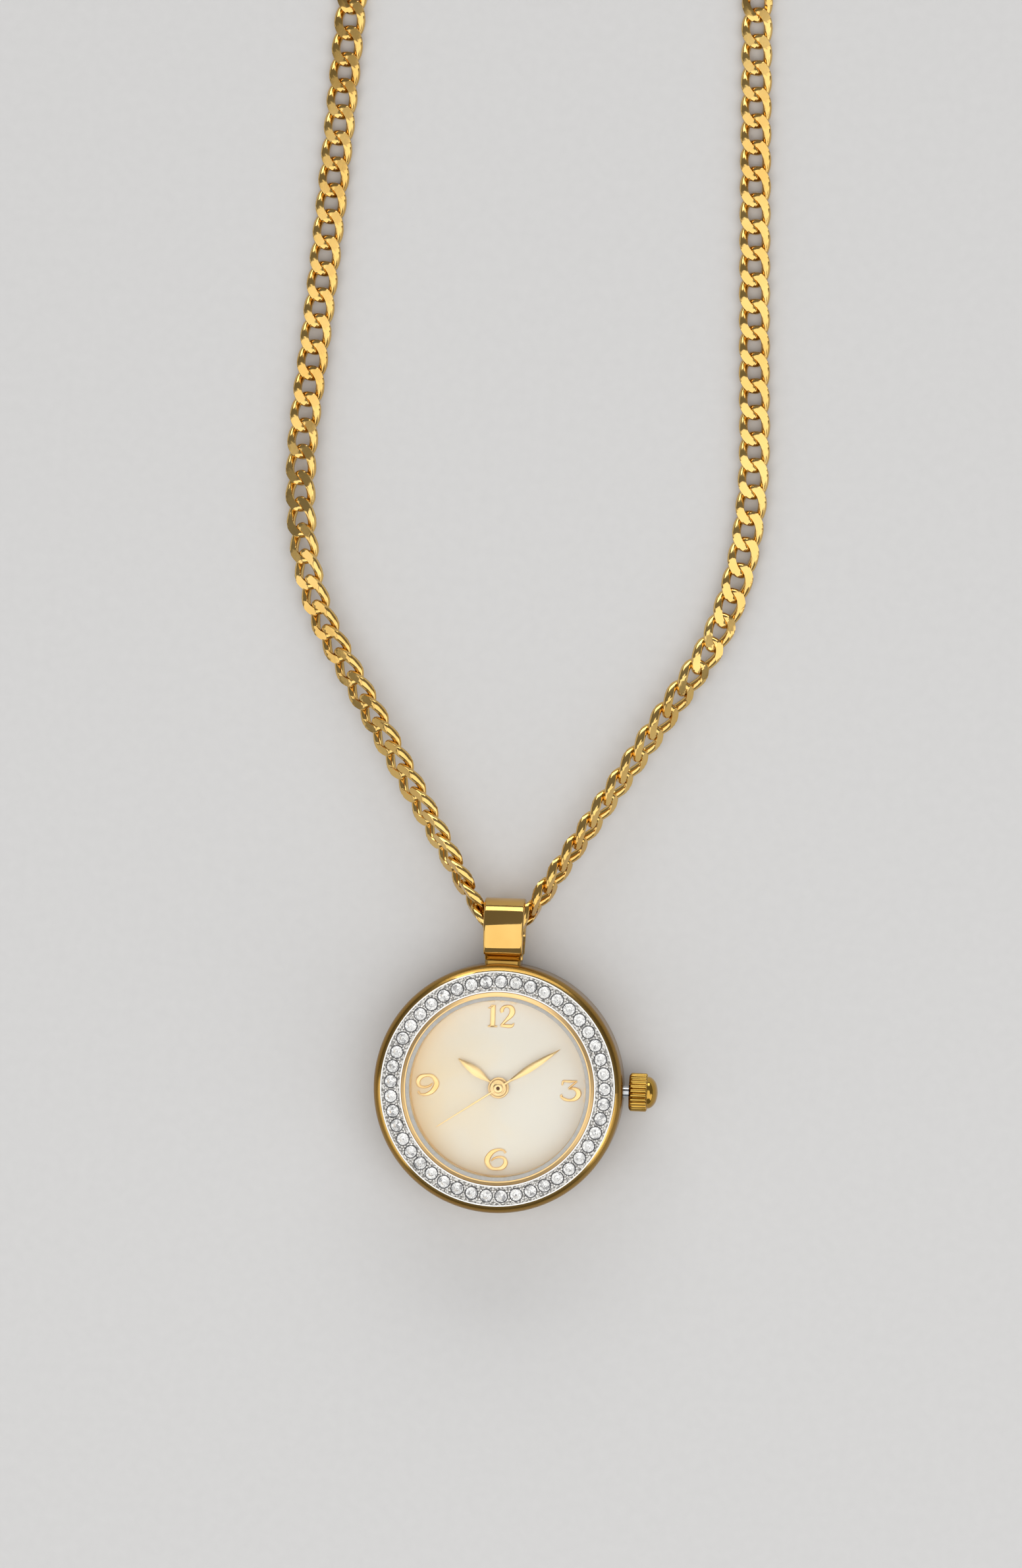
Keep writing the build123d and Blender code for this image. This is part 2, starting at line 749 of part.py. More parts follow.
third_wheel_level = bridge_top + running_gap * 2
step_wheel_level = third_wheel_level + wheel_thickness * 2
second_wheel_level = step_wheel_level + wheel_thickness * 2
centre_wheel_level = second_wheel_level + wheel_thickness * 3
rotor_pinion_bottom = step_wheel_level - running_gap
rotor = wheel_and_pinion(
    rotor_place,
    rotor_teeth,
    share_of(rotor_distance, rotor_teeth, step_wheel_teeth),
    rotor_pinion_bottom,
    rotor_teeth,
    share_of(rotor_distance, rotor_teeth, step_wheel_teeth),
    (rotor_pinion_bottom, magnet_bottom),
)
with BuildPart() as rotor_body:
    add(rotor)
    with BuildSketch(Plane.XY.offset(magnet_bottom)):
        with Locations(rotor_place):
            Circle(magnet_radius)
    extrude(amount=magnet_height)
finish(rotor_body.part, "rotor")

step_wheel = wheel_and_pinion(
    step_place,
    step_wheel_teeth,
    share_of(rotor_distance, step_wheel_teeth, rotor_teeth),
    step_wheel_level,
    step_pinion_teeth,
    share_of(step_distance, step_pinion_teeth, second_wheel_teeth),
    (step_wheel_level, second_wheel_level + wheel_thickness + running_gap),
)
finish(step_wheel, "step_wheel")

third_wheel = wheel_and_pinion(
    third_place,
    third_wheel_teeth,
    share_of(third_distance, third_wheel_teeth, second_pinion_teeth),
    third_wheel_level,
    third_pinion_teeth,
    share_of(third_distance, third_pinion_teeth, centre_wheel_teeth),
    (third_wheel_level, centre_wheel_level + wheel_thickness + running_gap),
)
finish(third_wheel, "third_wheel")

with BuildPart() as second_wheel:
    with BuildSketch(Plane.XY.offset(bridge_bottom + running_gap)):
        Circle(second_arbor_radius)
    extrude(amount=second_level + hand_thickness - bridge_bottom - running_gap)
    second_radius = share_of(step_distance, second_wheel_teeth, step_pinion_teeth)
    second_wheel_top = second_wheel_level + wheel_thickness
    add(toothed(second_wheel_teeth, second_radius, second_wheel_level, second_wheel_top))
    pinion_radius = share_of(third_distance, second_pinion_teeth, third_wheel_teeth)
    add(toothed(second_pinion_teeth, pinion_radius, bridge_top + running_gap, second_wheel_level))
finish(second_wheel.part, "second_wheel")

centre_bore = second_arbor_radius + running_gap
centre_radius = share_of(third_distance, centre_wheel_teeth, third_pinion_teeth)
centre_wheel_top = centre_wheel_level + wheel_thickness
with BuildPart() as centre_wheel:
    add(toothed(centre_wheel_teeth, centre_radius, centre_wheel_level, centre_wheel_top, centre_bore))
    add(bored_disc(centre_bore, centre_pipe_radius, centre_wheel_level, minute_level - running_gap))
finish(centre_wheel.part, "centre_wheel")

# Motion work: cannon pinion, minute wheel and hour wheel under the dial
cannon_bore = centre_pipe_radius + running_gap
cannon_radius = share_of(minute_distance, cannon_teeth, minute_wheel_teeth)
cannon_top = motion_level + wheel_thickness * 3 / 2
with BuildPart() as cannon_pinion:
    add(toothed(cannon_teeth, cannon_radius, motion_level, cannon_top, cannon_bore))
    add(bored_disc(cannon_bore, cannon_pipe_radius, motion_level, minute_level + hand_thickness))
finish(cannon_pinion.part, "cannon_pinion")

minute_bore = stud_radius + running_gap
minute_radius = share_of(minute_distance, minute_wheel_teeth, cannon_teeth)
minute_pinion_radius = share_of(minute_distance, minute_pinion_teeth, hour_wheel_teeth)
hour_wheel_top = hour_wheel_level + wheel_thickness
minute_wheel_top = motion_level + wheel_thickness
with BuildPart() as minute_wheel:
    add(toothed(minute_wheel_teeth, minute_radius, motion_level, minute_wheel_top, minute_bore))
    add(toothed(minute_pinion_teeth, minute_pinion_radius, motion_level, hour_wheel_top, minute_bore))
finish(Location((*minute_place, 0)) * minute_wheel.part, "minute_wheel")

hour_bore = cannon_pipe_radius + running_gap
hour_radius = share_of(minute_distance, hour_wheel_teeth, minute_pinion_teeth)
with BuildPart() as hour_wheel:
    add(toothed(hour_wheel_teeth, hour_radius, hour_wheel_level, hour_wheel_top, hour_bore))
    add(bored_disc(hour_bore, hour_pipe_radius, hour_wheel_level, hour_level + hand_thickness))
finish(hour_wheel.part, "hour_wheel")

setting_wheel = toothed(setting_teeth, setting_radius, motion_level, cannon_top, minute_bore)
finish(Location((*setting_place, 0)) * setting_wheel, "setting_wheel")

# Keyless work: the sliding pinion turns with the stem and drives the setting wheel
with BuildPart() as sliding_pinion:
    with BuildSketch(Plane.YZ.offset(sliding_start)):
        with BuildLine():
            teeth_points = []
            for i in range(2 * sliding_teeth):
                reach = sliding_radius - (i % 2) * sliding_groove_depth / 2
                across, up = polar(reach, 180 * i / sliding_teeth)
                teeth_points.append((across, stem_level + up))
            Polyline(*teeth_points, close=True)
        make_face()
        with Locations((0, stem_level)):
            Circle(stem_radius + running_gap, mode=Mode.SUBTRACT)
    extrude(amount=sliding_length)
    groove_start = sliding_start + sliding_length - 2 * sliding_groove_width
    with BuildSketch(Plane.YZ.offset(groove_start)):
        with Locations((0, stem_level)):
            Circle(sliding_radius + running_gap)
            Circle(sliding_radius - sliding_groove_depth, mode=Mode.SUBTRACT)
    extrude(amount=sliding_groove_width, mode=Mode.SUBTRACT)
finish(sliding_pinion.part, "sliding_pinion")

crown_inner = case_radius + crown_gap
crown_recess_radius = tube_radius + crown_recess_wall
crown_recess_end = crown_inner + tube_reach + running_gap * 2
lever_groove_start = lever_pin_x - lever_groove_width / 2
with BuildPart() as stem:
    with BuildSketch(Plane.YZ.offset(stem_notch_start + crown_travel + running_gap)):
        with Locations((0, stem_level)):
            Circle(stem_radius)
    extrude(amount=crown_recess_end - stem_notch_start - crown_travel - running_gap)
    with BuildSketch(Plane.YZ.offset(lever_groove_start)):
        with Locations((0, stem_level)):
            Circle(stem_radius)
            Circle(lever_groove_radius, mode=Mode.SUBTRACT)
    extrude(amount=lever_groove_width, mode=Mode.SUBTRACT)
finish(stem.part, "stem")

# Crown: a fluted grip with a polished dome, hollow over the tube
with BuildPart() as crown:
    with BuildSketch(Plane.YZ.offset(crown_inner)):
        with BuildLine():
            grip_points = []
            for i in range(2 * crown_flutes):
                across, up = polar(crown_radius - (i % 2) * flute_depth, 180 * i / crown_flutes)
                grip_points.append((across, stem_level + up))
            Polyline(*grip_points, close=True)
        make_face()
    extrude(amount=crown_grip_length)
    with BuildSketch(Plane.XZ):
        with BuildLine():
            dome_start = crown_inner + crown_grip_length
            dome_foot = (dome_start, stem_level + crown_dome_radius)
            dome_tip = (dome_start + crown_dome_length, stem_level)
            dome_middle = (dome_start, stem_level)
            EllipticalCenterArc(dome_middle, crown_dome_length, crown_dome_radius, 0, arc_size=90)
            Polyline(dome_tip, (dome_start, stem_level), dome_foot)
        make_face()
    revolve(axis=Axis((0, 0, stem_level), (1, 0, 0)))
    with BuildSketch(Plane.YZ.offset(crown_inner)):
        with Locations((0, stem_level)):
            Circle(crown_recess_radius)
    extrude(amount=crown_recess_end - crown_inner, mode=Mode.SUBTRACT)
finish(crown.part, "crown")

with BuildPart() as crown_gasket:
    with BuildSketch(Plane.YZ.offset(crown_inner + running_gap)):
        with Locations((0, stem_level)):
            Circle(crown_recess_radius)
            Circle(tube_radius + fit_gap, mode=Mode.SUBTRACT)
    extrude(amount=crown_gasket_length)
finish(crown_gasket.part, "crown_gasket")

with BuildPart() as crown_tube:
    with BuildSketch(Plane.YZ.offset(movement_bore_radius + running_gap)):
        with Locations((0, stem_level)):
            Circle(tube_radius)
            Circle(stem_radius + running_gap, mode=Mode.SUBTRACT)
    extrude(amount=crown_inner + tube_reach - crown_travel - movement_bore_radius - running_gap)
finish(crown_tube.part, "crown_tube")

# Setting lever: turns on a stud as its pin follows the groove in the stem
with BuildPart() as setting_lever:
    with BuildSketch(Plane.XY.offset(plate_top + fit_gap)):
        with BuildLine() as lever_line:
            Line(lever_pivot, (lever_pin_x, 0))
        trace(lever_line.line, line_width=lever_width / 2)
        with Locations(lever_pivot):
            Circle(lever_width / 2)
        with Locations((lever_pin_x, 0)):
            Circle(lever_width / 3)
        with Locations(lever_pivot):
            Circle(stud_radius + running_gap, mode=Mode.SUBTRACT)
    extrude(amount=lever_thickness)
    with BuildSketch(Plane.XY.offset(plate_top + fit_gap)):
        with Locations((lever_pin_x, 0)):
            Circle(lever_pin_radius)
    extrude(amount=-(plate_top + fit_gap - stem_level - lever_groove_radius - running_gap))
finish(setting_lever.part, "setting_lever")

# Bail: a band bent into a loop, wider at its top, with its front leg fuller than its back leg
bail_middle = (bail_depth_front + bail_depth_back) / 2


def bail_loop(inset):
    """The loop's side view, drawn in from its outside by the inset."""
    foot, crest = bail_foot + inset, bail_top - inset
    front, back = bail_depth_front - inset, bail_depth_back + inset
    front_foot, back_foot = lug_top - inset, lug_bottom + inset
    low, high = foot + (crest - foot) * bail_waist_share, foot + (crest - foot) * bail_shoulder_share
    Spline(
        (foot, front_foot),
        (low, front),
        (high, bail_middle + (front - bail_middle) * bail_round_share),
        (crest, bail_middle),
        tangents=((1, 0), (0, -1)),
    )
    Spline(
        (crest, bail_middle),
        (high, bail_middle - (bail_middle - back) * bail_round_share),
        (low, back),
        (foot, back_foot),
        tangents=((0, -1), (-1, 0)),
    )
    Line((foot, back_foot), (foot, front_foot))


with BuildPart() as bail:
    with BuildSketch(Plane.YZ):
        with BuildLine():
            bail_loop(0)
        make_face()
        with BuildLine():
            bail_loop(bail_wall)
        make_face(mode=Mode.SUBTRACT)
    extrude(amount=bail_width_top / 2, both=True)
    with BuildSketch(Plane.XY):
        with BuildLine():
            Polyline(
                (-bail_width_foot / 2, bail_foot),
                (bail_width_foot / 2, bail_foot),
                (bail_width_top / 2, bail_top),
                (-bail_width_top / 2, bail_top),
                close=True,
            )
        make_face()
    extrude(amount=bail_depth_front + bail_wall, mode=Mode.INTERSECT)
finish(bail.part, "bail")


# Neck chain: each link is an oval of wire, twisted half way round so that it lies flat on the next
def curb_link(sides):
    """One twisted link about the origin, its length along X and its flat face towards Z."""
    half_length = (link_pitch + wire_width + 2 * wire_play_gap) / 2
    centres = []
    turns = []
    for i in range(sides):
        angle = 2 * pi * (i + 1 / 2) / sides
        along = half_length * copysign(abs(cos(angle)) ** (2 / link_square_share), cos(angle))
        across = link_half_width * copysign(abs(sin(angle)) ** (2 / link_square_share), sin(angle))
        turn = radians(link_twist) * along / half_length
        centres.append(Vector(along, across * cos(turn), across * sin(turn)))
        turns.append(Vector(0, -sin(turn), cos(turn)))
    rings = []
    for i in range(sides):
        ahead = (centres[(i + 1) % sides] - centres[i - 1]).normalized()
        upward = (turns[i] - ahead * turns[i].dot(ahead)).normalized() * (wire_width / 2)
        outward = ahead.cross(upward)
        corners = ((1, 1), (1, -1), (-1, -1), (-1, 1))
        rings.append([centres[i] + upward * u + outward * v for u, v in corners])
    faces = []
    for i in range(sides):
        near, far = rings[i], rings[(i + 1) % sides]
        for j in range(4):
            k = (j + 1) % 4
            faces.append(Face(Wire.make_polygon([near[j], near[k], far[k]])))
            faces.append(Face(Wire.make_polygon([near[j], far[k], far[j]])))
    return Solid(Shell(faces))


def roll_at(distance, table):
    """How far the chain is rolled on edge at a distance from the bail, in degrees."""
    for (start, first), (end, second) in zip(table, table[1:]):
        if distance <= end:
            return first + (second - first) * max(0, distance - start) / (end - start)
    return table[-1][1]


def link_plane(hook, next_hook, roll):
    """The plane of a link that runs from one hook point to the next, rolled about its length."""
    along = (next_hook - hook).normalized()
    upward = along.cross(Vector(0, 0, 1).cross(along))
    flat = Plane(origin=(hook + next_hook) / 2, x_dir=along, z_dir=upward)
    return flat.rotated((roll, 0, 0))


with BuildLine() as route:
    FilletPolyline(*chain_route, radius=chain_bends)
route_wire = route.wire()
link_count = round(route_wire.length / link_pitch)
link_step = route_wire.length / link_count
hooks = [
    route_wire.position_at(min(i * link_step, route_wire.length), position_mode=PositionMode.LENGTH)
    for i in range(link_count + 1)
]
clasp_first = round(clasp_run_start / link_step)
clasp_last = clasp_first + clasp_span_links
shown_link = curb_link(link_sides_shown)
stored_link = curb_link(link_sides_stored)
shown_reach = chain_route[1][1] * 2
links = {"chain_left": [], "chain_right": []}
for i in range(link_count):
    if clasp_first <= i < clasp_last:
        continue
    link = shown_link if hooks[i].Y < shown_reach else stored_link
    if i < clasp_first:
        roll = roll_at(i * link_step, left_rolls)
        place = link_plane(hooks[i], hooks[i + 1], roll)
        links["chain_left"].append(place.location * link)
    else:
        roll = roll_at((link_count - i) * link_step, right_rolls)
        place = link_plane(hooks[i], hooks[i + 1], roll)
        links["chain_right"].append(place.location * link)
bail_link = link_plane(hooks[-1], hooks[0], left_rolls[0][1]).location * shown_link
finish(Compound(links["chain_left"]), "chain_left")
finish(Compound(links["chain_right"]), "chain_right")
finish(bail_link, "bail_link")
chain_length = route_wire.length + link_pitch
print("chain length", round(chain_length, 1), "links", link_count + 1, "step", round(link_step, 3))

# Clasp: a lobster claw between two upright rings, its gate turning on a pin
clasp_along = (hooks[clasp_last] - hooks[clasp_first]).normalized()
clasp_reach = (hooks[clasp_last] - hooks[clasp_first]).length
clasp_origin = hooks[clasp_first] + clasp_along * clasp_eye_offset
clasp_base = Plane(
    origin=(clasp_origin.X, clasp_origin.Y, clasp_level), x_dir=clasp_along, z_dir=(0, 0, 1)
)
loop_end = clasp_reach - 2 * clasp_eye_offset + 3 * ring_wire_radius + clasp_wall
loop_half = (loop_end - clasp_neck) / 2
loop_middle = clasp_neck + loop_half
loop_side = clasp_width / 2
hinge_x = loop_middle - clasp_hinge_reach
hinge_share = clasp_hinge_reach / (loop_half - clasp_wall / 2)
hinge_y = (loop_side - clasp_wall / 2) * sqrt(1 - hinge_share**2)
gate_middle = hinge_x + clasp_wall + clasp_gate_length / 2
print("clasp hinge", clasp_base.from_local_coords((hinge_x, hinge_y, 0)))


def claw_ring(shrink):
    """The claw's oval loop, its wall thinner by the shrink on each side."""
    with BuildSketch() as loop:
        with Locations((loop_middle, 0)):
            Ellipse(loop_half - shrink, loop_side - shrink)
            hollow = (loop_half - clasp_wall + shrink, loop_side - clasp_wall + shrink)
            Ellipse(*hollow, mode=Mode.SUBTRACT)
    return loop.sketch


tongue_level = (clasp_thickness - clasp_tongue) / 2
with BuildPart() as clasp_body:
    with BuildSketch(clasp_base):
        add(claw_ring(0))
        Circle(clasp_eye_radius + clasp_eye_wall)
        with Locations((clasp_neck / 2 + clasp_wall / 2, 0)):
            Rectangle(clasp_neck, clasp_eye_radius * 2)
        Circle(clasp_eye_radius, mode=Mode.SUBTRACT)
        with Locations((gate_middle, loop_side)):
            Rectangle(clasp_gate_length, loop_side * 3 / 2, mode=Mode.SUBTRACT)
    extrude(amount=clasp_thickness)
    with BuildSketch(clasp_base.offset(tongue_level - running_gap)):
        with Locations((hinge_x, hinge_y)):
            Circle(clasp_wall + clasp_pin_radius)
    extrude(amount=clasp_tongue + 2 * running_gap, mode=Mode.SUBTRACT)
    with BuildSketch(clasp_base):
        with Locations((hinge_x, hinge_y)):
            Circle(clasp_pin_radius)
    extrude(amount=clasp_thickness, mode=Mode.SUBTRACT)
finish(clasp_body.part, "clasp_body")

with BuildPart() as clasp_gate:
    with BuildSketch(clasp_base):
        add(claw_ring(lever_clearance))
        with Locations((gate_middle, loop_side)):
            gate_bar = clasp_gate_length - 2 * lever_clearance
            Rectangle(gate_bar, loop_side * 3 / 2, mode=Mode.INTERSECT)
    extrude(amount=clasp_thickness)
    with BuildSketch(clasp_base.offset(tongue_level)):
        with Locations((hinge_x, hinge_y)):
            Circle(clasp_wall / 2)
        with BuildLine() as tongue_line:
            Line((hinge_x, hinge_y), (hinge_x + clasp_wall * 3 / 2, hinge_y + clasp_wall / 4))
        trace(tongue_line.line, line_width=clasp_wall / 2)
        with Locations((hinge_x, hinge_y)):
            Circle(clasp_pin_radius + running_gap, mode=Mode.SUBTRACT)
    extrude(amount=clasp_tongue)
finish(clasp_gate.part, "clasp_gate")

with BuildPart() as clasp_pin:
    with BuildSketch(clasp_base):
        with Locations((hinge_x, hinge_y)):
            Circle(clasp_pin_radius)
    extrude(amount=clasp_thickness)
finish(clasp_pin.part, "clasp_pin")


def upright_ring(centre, name):
    """A jump ring that stands on edge in line with the chain."""
    ring_plane = Plane(origin=(centre.X, centre.Y, ring_level), x_dir=clasp_along, z_dir=(0, 0, 1))
    with BuildPart() as ring:
        with BuildSketch(ring_plane):
            with Locations((ring_radius, 0)):
                RegularPolygon(ring_wire_radius, link_sides_stored)
        revolve(axis=Axis(ring_plane.origin, ring_plane.y_dir))
    finish(ring.part, name)


upright_ring(hooks[clasp_first] + clasp_along * ring_offset, "clasp_ring")
upright_ring(hooks[clasp_last] - clasp_along * ring_offset, "end_ring")
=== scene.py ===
import bpy
from math import copysign, cos, pi, radians, sin
from mathutils import Matrix, Vector
from mathutils.geometry import interpolate_bezier


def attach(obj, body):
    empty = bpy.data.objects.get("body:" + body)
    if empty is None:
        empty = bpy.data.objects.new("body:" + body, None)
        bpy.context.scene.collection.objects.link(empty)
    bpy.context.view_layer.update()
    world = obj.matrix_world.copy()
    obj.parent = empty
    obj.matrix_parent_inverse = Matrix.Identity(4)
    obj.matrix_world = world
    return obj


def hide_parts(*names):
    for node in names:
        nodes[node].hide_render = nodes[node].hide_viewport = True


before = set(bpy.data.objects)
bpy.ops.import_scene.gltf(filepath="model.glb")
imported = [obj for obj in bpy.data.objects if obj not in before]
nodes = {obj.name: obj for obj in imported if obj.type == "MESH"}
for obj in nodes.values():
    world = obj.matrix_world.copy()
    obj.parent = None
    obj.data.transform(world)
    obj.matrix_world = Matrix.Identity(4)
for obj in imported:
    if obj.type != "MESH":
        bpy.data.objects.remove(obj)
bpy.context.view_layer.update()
scene = bpy.context.scene

# Camera: the watch lies face up and is seen from high above through a long lens, a little from
# the crown's side, with its 12 turned two degrees clockwise in the picture.
camera_data = bpy.data.cameras.new("camera")
camera_data.sensor_width = 36
camera_data.lens = 120.3
camera_data.clip_start = 0.01
camera_place = Vector((0.0335, 0.0319, 0.550))
camera_aim = Vector((-0.0001, 0.0317, 0))
picture_turn = radians(2)
towards_camera = (camera_place - camera_aim).normalized()
picture_right = Vector((cos(picture_turn), sin(picture_turn), 0))
picture_right = (picture_right - towards_camera * picture_right.dot(towards_camera)).normalized()
picture_up = towards_camera.cross(picture_right)
camera_turn = Matrix((picture_right, picture_up, towards_camera)).transposed().to_4x4()
camera = bpy.data.objects.new("camera", camera_data)
camera.matrix_world = Matrix.Translation(camera_place) @ camera_turn
scene.collection.objects.link(camera)
scene.camera = camera

# Neck chain: a curb chain of gold-plated brass wire. Each link is an oval that is soldered shut
# and twisted, so that it lies on the next. Both sides of the chain are then filed flat and
# polished to bright tear-shaped faces, and one link inside the bail joins the two arms.
mm_per_metre = 1000


def from_hex(code):
    """The linear colour of an sRGB hex value."""
    parts = [int(code[i:i + 2], 16) / 255 for i in (1, 3, 5)]
    return [p / 12.92 if p < 0.04045 else ((p + 0.055) / 1.055) ** 2.4 for p in parts] + [1]


def add_node(tree, kind, settings, links=None):
    """Adds a node of one kind, with its settings and the sockets that feed it."""
    node = tree.nodes.new("ShaderNode" + kind)
    for name, value in settings.items():
        if isinstance(name, int) or name in node.inputs:
            node.inputs[name].default_value = value
        else:
            setattr(node, name, value)
    for name, source in (links or {}).items():
        tree.links.new(source, node.inputs[name])
    return node


def new_material(name, settings):
    """A material with the values of its own shader, and its tree."""
    material = bpy.data.materials.new(name)
    material.use_nodes = True
    shader = material.node_tree.nodes["Principled BSDF"]
    for socket, value in settings.items():
        shader.inputs[socket].default_value = value
    return material, material.node_tree, shader


# The marks that wiping and wear leave on metal are a few hundredths of a millimetre wide. They
# are drawn 0.1 to 0.3 mm wide, four times as long and 0.01 mm deep, so that they show.
mark_length = 4
mark_depth = 0.01
mark_strength = 0.12
mark_slant = (0.3, 0.5, 0.7)


def worked_metal(name, light, deep, sheen, dull, cloud, mark, spread=0.2):
    """Metal whose tone and gloss drift in clouds under fine marks, both given in millimetres."""
    material, tree, shader = new_material(name, {"Metallic": 1})
    place = add_node(tree, "TexCoord", {})
    clouds = add_node(
        tree, "TexNoise", {"Scale": mm_per_metre / cloud, "Detail": 3},
        {"Vector": place.outputs["Object"]},
    )
    tone = add_node(tree, "ValToRGB", {}, {"Fac": clouds.outputs["Fac"]})
    tone.color_ramp.elements[0].position = 0.5 - spread
    tone.color_ramp.elements[0].color = from_hex(deep)
    tone.color_ramp.elements[1].position = 0.5 + spread
    tone.color_ramp.elements[1].color = from_hex(light)
    gloss = add_node(
        tree, "MapRange", {"To Min": sheen, "To Max": dull}, {"Value": clouds.outputs["Fac"]}
    )
    across = mm_per_metre / mark
    stretch = add_node(
        tree, "Mapping", {"Scale": (across, across / mark_length, across), "Rotation": mark_slant},
        {"Vector": place.outputs["Object"]},
    )
    marks = add_node(
        tree, "TexNoise", {"Scale": 1, "Detail": 2}, {"Vector": stretch.outputs["Vector"]}
    )
    relief = add_node(
        tree, "Bump", {"Strength": mark_strength, "Distance": mark_depth / mm_per_metre},
        {"Height": marks.outputs["Fac"]},
    )
    tree.links.new(tone.outputs["Color"], shader.inputs["Base Color"])
    tree.links.new(gloss.outputs["Result"], shader.inputs["Roughness"])
    tree.links.new(relief.outputs["Normal"], shader.inputs["Normal"])
    return material


def make_piece(name, points, faces, materials, body, crease=35):
    """A smooth piece from points in millimetres, which rides on a body."""
    mesh = bpy.data.meshes.new(name)
    mesh.from_pydata([Vector(p) / mm_per_metre for p in points], [], faces)
    for material in materials:
        mesh.materials.append(material)
    mesh.shade_smooth()
    mesh.set_sharp_from_angle(angle=radians(crease))
    piece = bpy.data.objects.new(name, mesh)
    scene.collection.objects.link(piece)
    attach(piece, body)
    return piece


# Gold plate on filed and polished brass wire: a warm yellow mirror, deeper in soft patches, so
# that each link shows one bright face and one dark edge
chain_gold = worked_metal(
    "polished_gold_plated_wire", light="#E8C479", deep="#D5AA5C", sheen=0.08, dull=0.16,
    cloud=9.0, mark=0.25,
)

# The chain's line, in metres: from the bail along one arm, through four runs side by side with
# the clasp in the second, and back along the other arm. A flat link's middle is 0.62 mm high.
chain_points = [
    (-0.00139, 0.0161, 0.0034),
    (-0.0140, 0.0373, 0.0022),
    (-0.0246, 0.0551, 0.0017),
    (-0.0212, 0.0880, 0.00062),
    (-0.0170, 0.1600, 0.00062),
    (-0.0040, 0.1600, 0.00074),
    (-0.0040, 0.1200, 0.00074),
    (0.0090, 0.1200, 0.00062),
    (0.0090, 0.1600, 0.00062),
    (0.0220, 0.1600, 0.00062),
    (0.0235, 0.0860, 0.00062),
    (0.0249, 0.0536, 0.0010),
    (0.0138, 0.0361, 0.0022),
    (0.00139, 0.0165, 0.0034),
]
route_data = bpy.data.curves.new("chain_route", "CURVE")
route_data.dimensions = "3D"
route_data.resolution_u = 40
route_spline = route_data.splines.new("NURBS")
route_spline.points.add(len(chain_points) - 1)
for knot, point in zip(route_spline.points, chain_points):
    knot.co = (*point, 1)
route_spline.order_u = 3
route_spline.use_endpoint_u = True
route_object = bpy.data.objects.new("chain_route", route_data)
route_mesh = bpy.data.meshes.new_from_object(route_object)
route_line = [v.co * mm_per_metre for v in route_mesh.vertices]
bpy.data.objects.remove(route_object)
travelled = [0]
for near, far in zip(route_line, route_line[1:]):
    travelled.append(travelled[-1] + (far - near).length)
chain_run = travelled[-1]


def along_route(distance):
    """The point of the chain's line at a distance from its start, in millimetres."""
    distance = min(max(distance, 0), chain_run)
    i = 1
    while travelled[i] < distance and i < len(travelled) - 1:
        i += 1
    share = (distance - travelled[i - 1]) / (travelled[i] - travelled[i - 1])
    return route_line[i - 1].lerp(route_line[i], share)


# A link is drawn along the middle of its wire, and its wire is filed off at filed_half_depth
link_pitch = 2.78
link_half_length = 1.76
link_half_width = 1.18
link_square_share = 2.5
link_twist = -42
wire_half_width = 0.47
wire_half_depth = 0.52
filed_half_depth = 0.58
link_crease = 32


def curb_link(stations, sides):
    """One link's points and faces, its length along X and its filed faces towards Z."""
    centres = []
    rises = []
    bend = 2 / link_square_share
    for i in range(stations):
        angle = 2 * pi * (i + 0.5) / stations
        along = link_half_length * copysign(abs(cos(angle)) ** bend, cos(angle))
        across = link_half_width * copysign(abs(sin(angle)) ** bend, sin(angle))
        turn = radians(link_twist) * along / link_half_length
        centres.append(Vector((along, across * cos(turn), across * sin(turn))))
        rises.append(Vector((0, -sin(turn), cos(turn))))
    points = []
    faces = []
    for i in range(stations):
        ahead = (centres[(i + 1) % stations] - centres[i - 1]).normalized()
        upward = (rises[i] - ahead * rises[i].dot(ahead)).normalized()
        outward = ahead.cross(upward)
        for j in range(sides):
            angle = 2 * pi * j / sides
            point = centres[i] + outward * wire_half_width * cos(angle)
            point += upward * wire_half_depth * sin(angle)
            point.z = min(max(point.z, -filed_half_depth), filed_half_depth)
            points.append(point)
            a, b = i * sides + j, i * sides + (j + 1) % sides
            c, d = (i + 1) % stations * sides + (j + 1) % sides, (i + 1) % stations * sides + j
            faces.append((a, b, c, d))
    return points, faces


def lay_link(link, start, end, roll, points, faces):
    """Adds one link that runs from one hook point to the next, rolled about its length."""
    along = (end - start).normalized()
    side = Vector((0, 0, 1)).cross(along).normalized()
    turn = Matrix((along, side, along.cross(side))).transposed()
    turn = turn @ Matrix.Rotation(radians(-roll), 3, "X")
    middle = (start + end) / 2
    first = len(points)
    points.extend(middle + turn @ p for p in link[0])
    faces.extend(tuple(first + i for i in face) for face in link[1])


# How far the chain lies on edge, in degrees, at some distances from the bail in millimetres
left_rolls = [
    (0, 90), (2.8, 74), (5, 66), (10, 58), (16, 47), (25, 42), (36, 38), (44, 30), (58, 0),
]
right_rolls = [(0, 90), (2.8, 80), (5.6, 69), (11, 66), (22, 57), (34, 43), (42, 18), (52, 0)]


def roll_at(distance, table):
    """How far the chain lies on edge at a distance from the bail, in degrees."""
    for (start, first), (end, second) in zip(table, table[1:]):
        if distance <= end:
            return first + (second - first) * max(0, distance - start) / (end - start)
    return table[-1][1]


# Links beyond the picture's upper edge have fewer faces
shown_link = curb_link(42, 14)
stored_link = curb_link(28, 10)
shown_reach = 112
link_points = []
link_faces = []
lay_link(shown_link, route_line[-1], route_line[0], left_rolls[0][1], link_points, link_faces)
middle_link = make_piece(
    "bail_link_filed", link_points, link_faces, [chain_gold], "watch", crease=link_crease
)
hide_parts("bail_link")

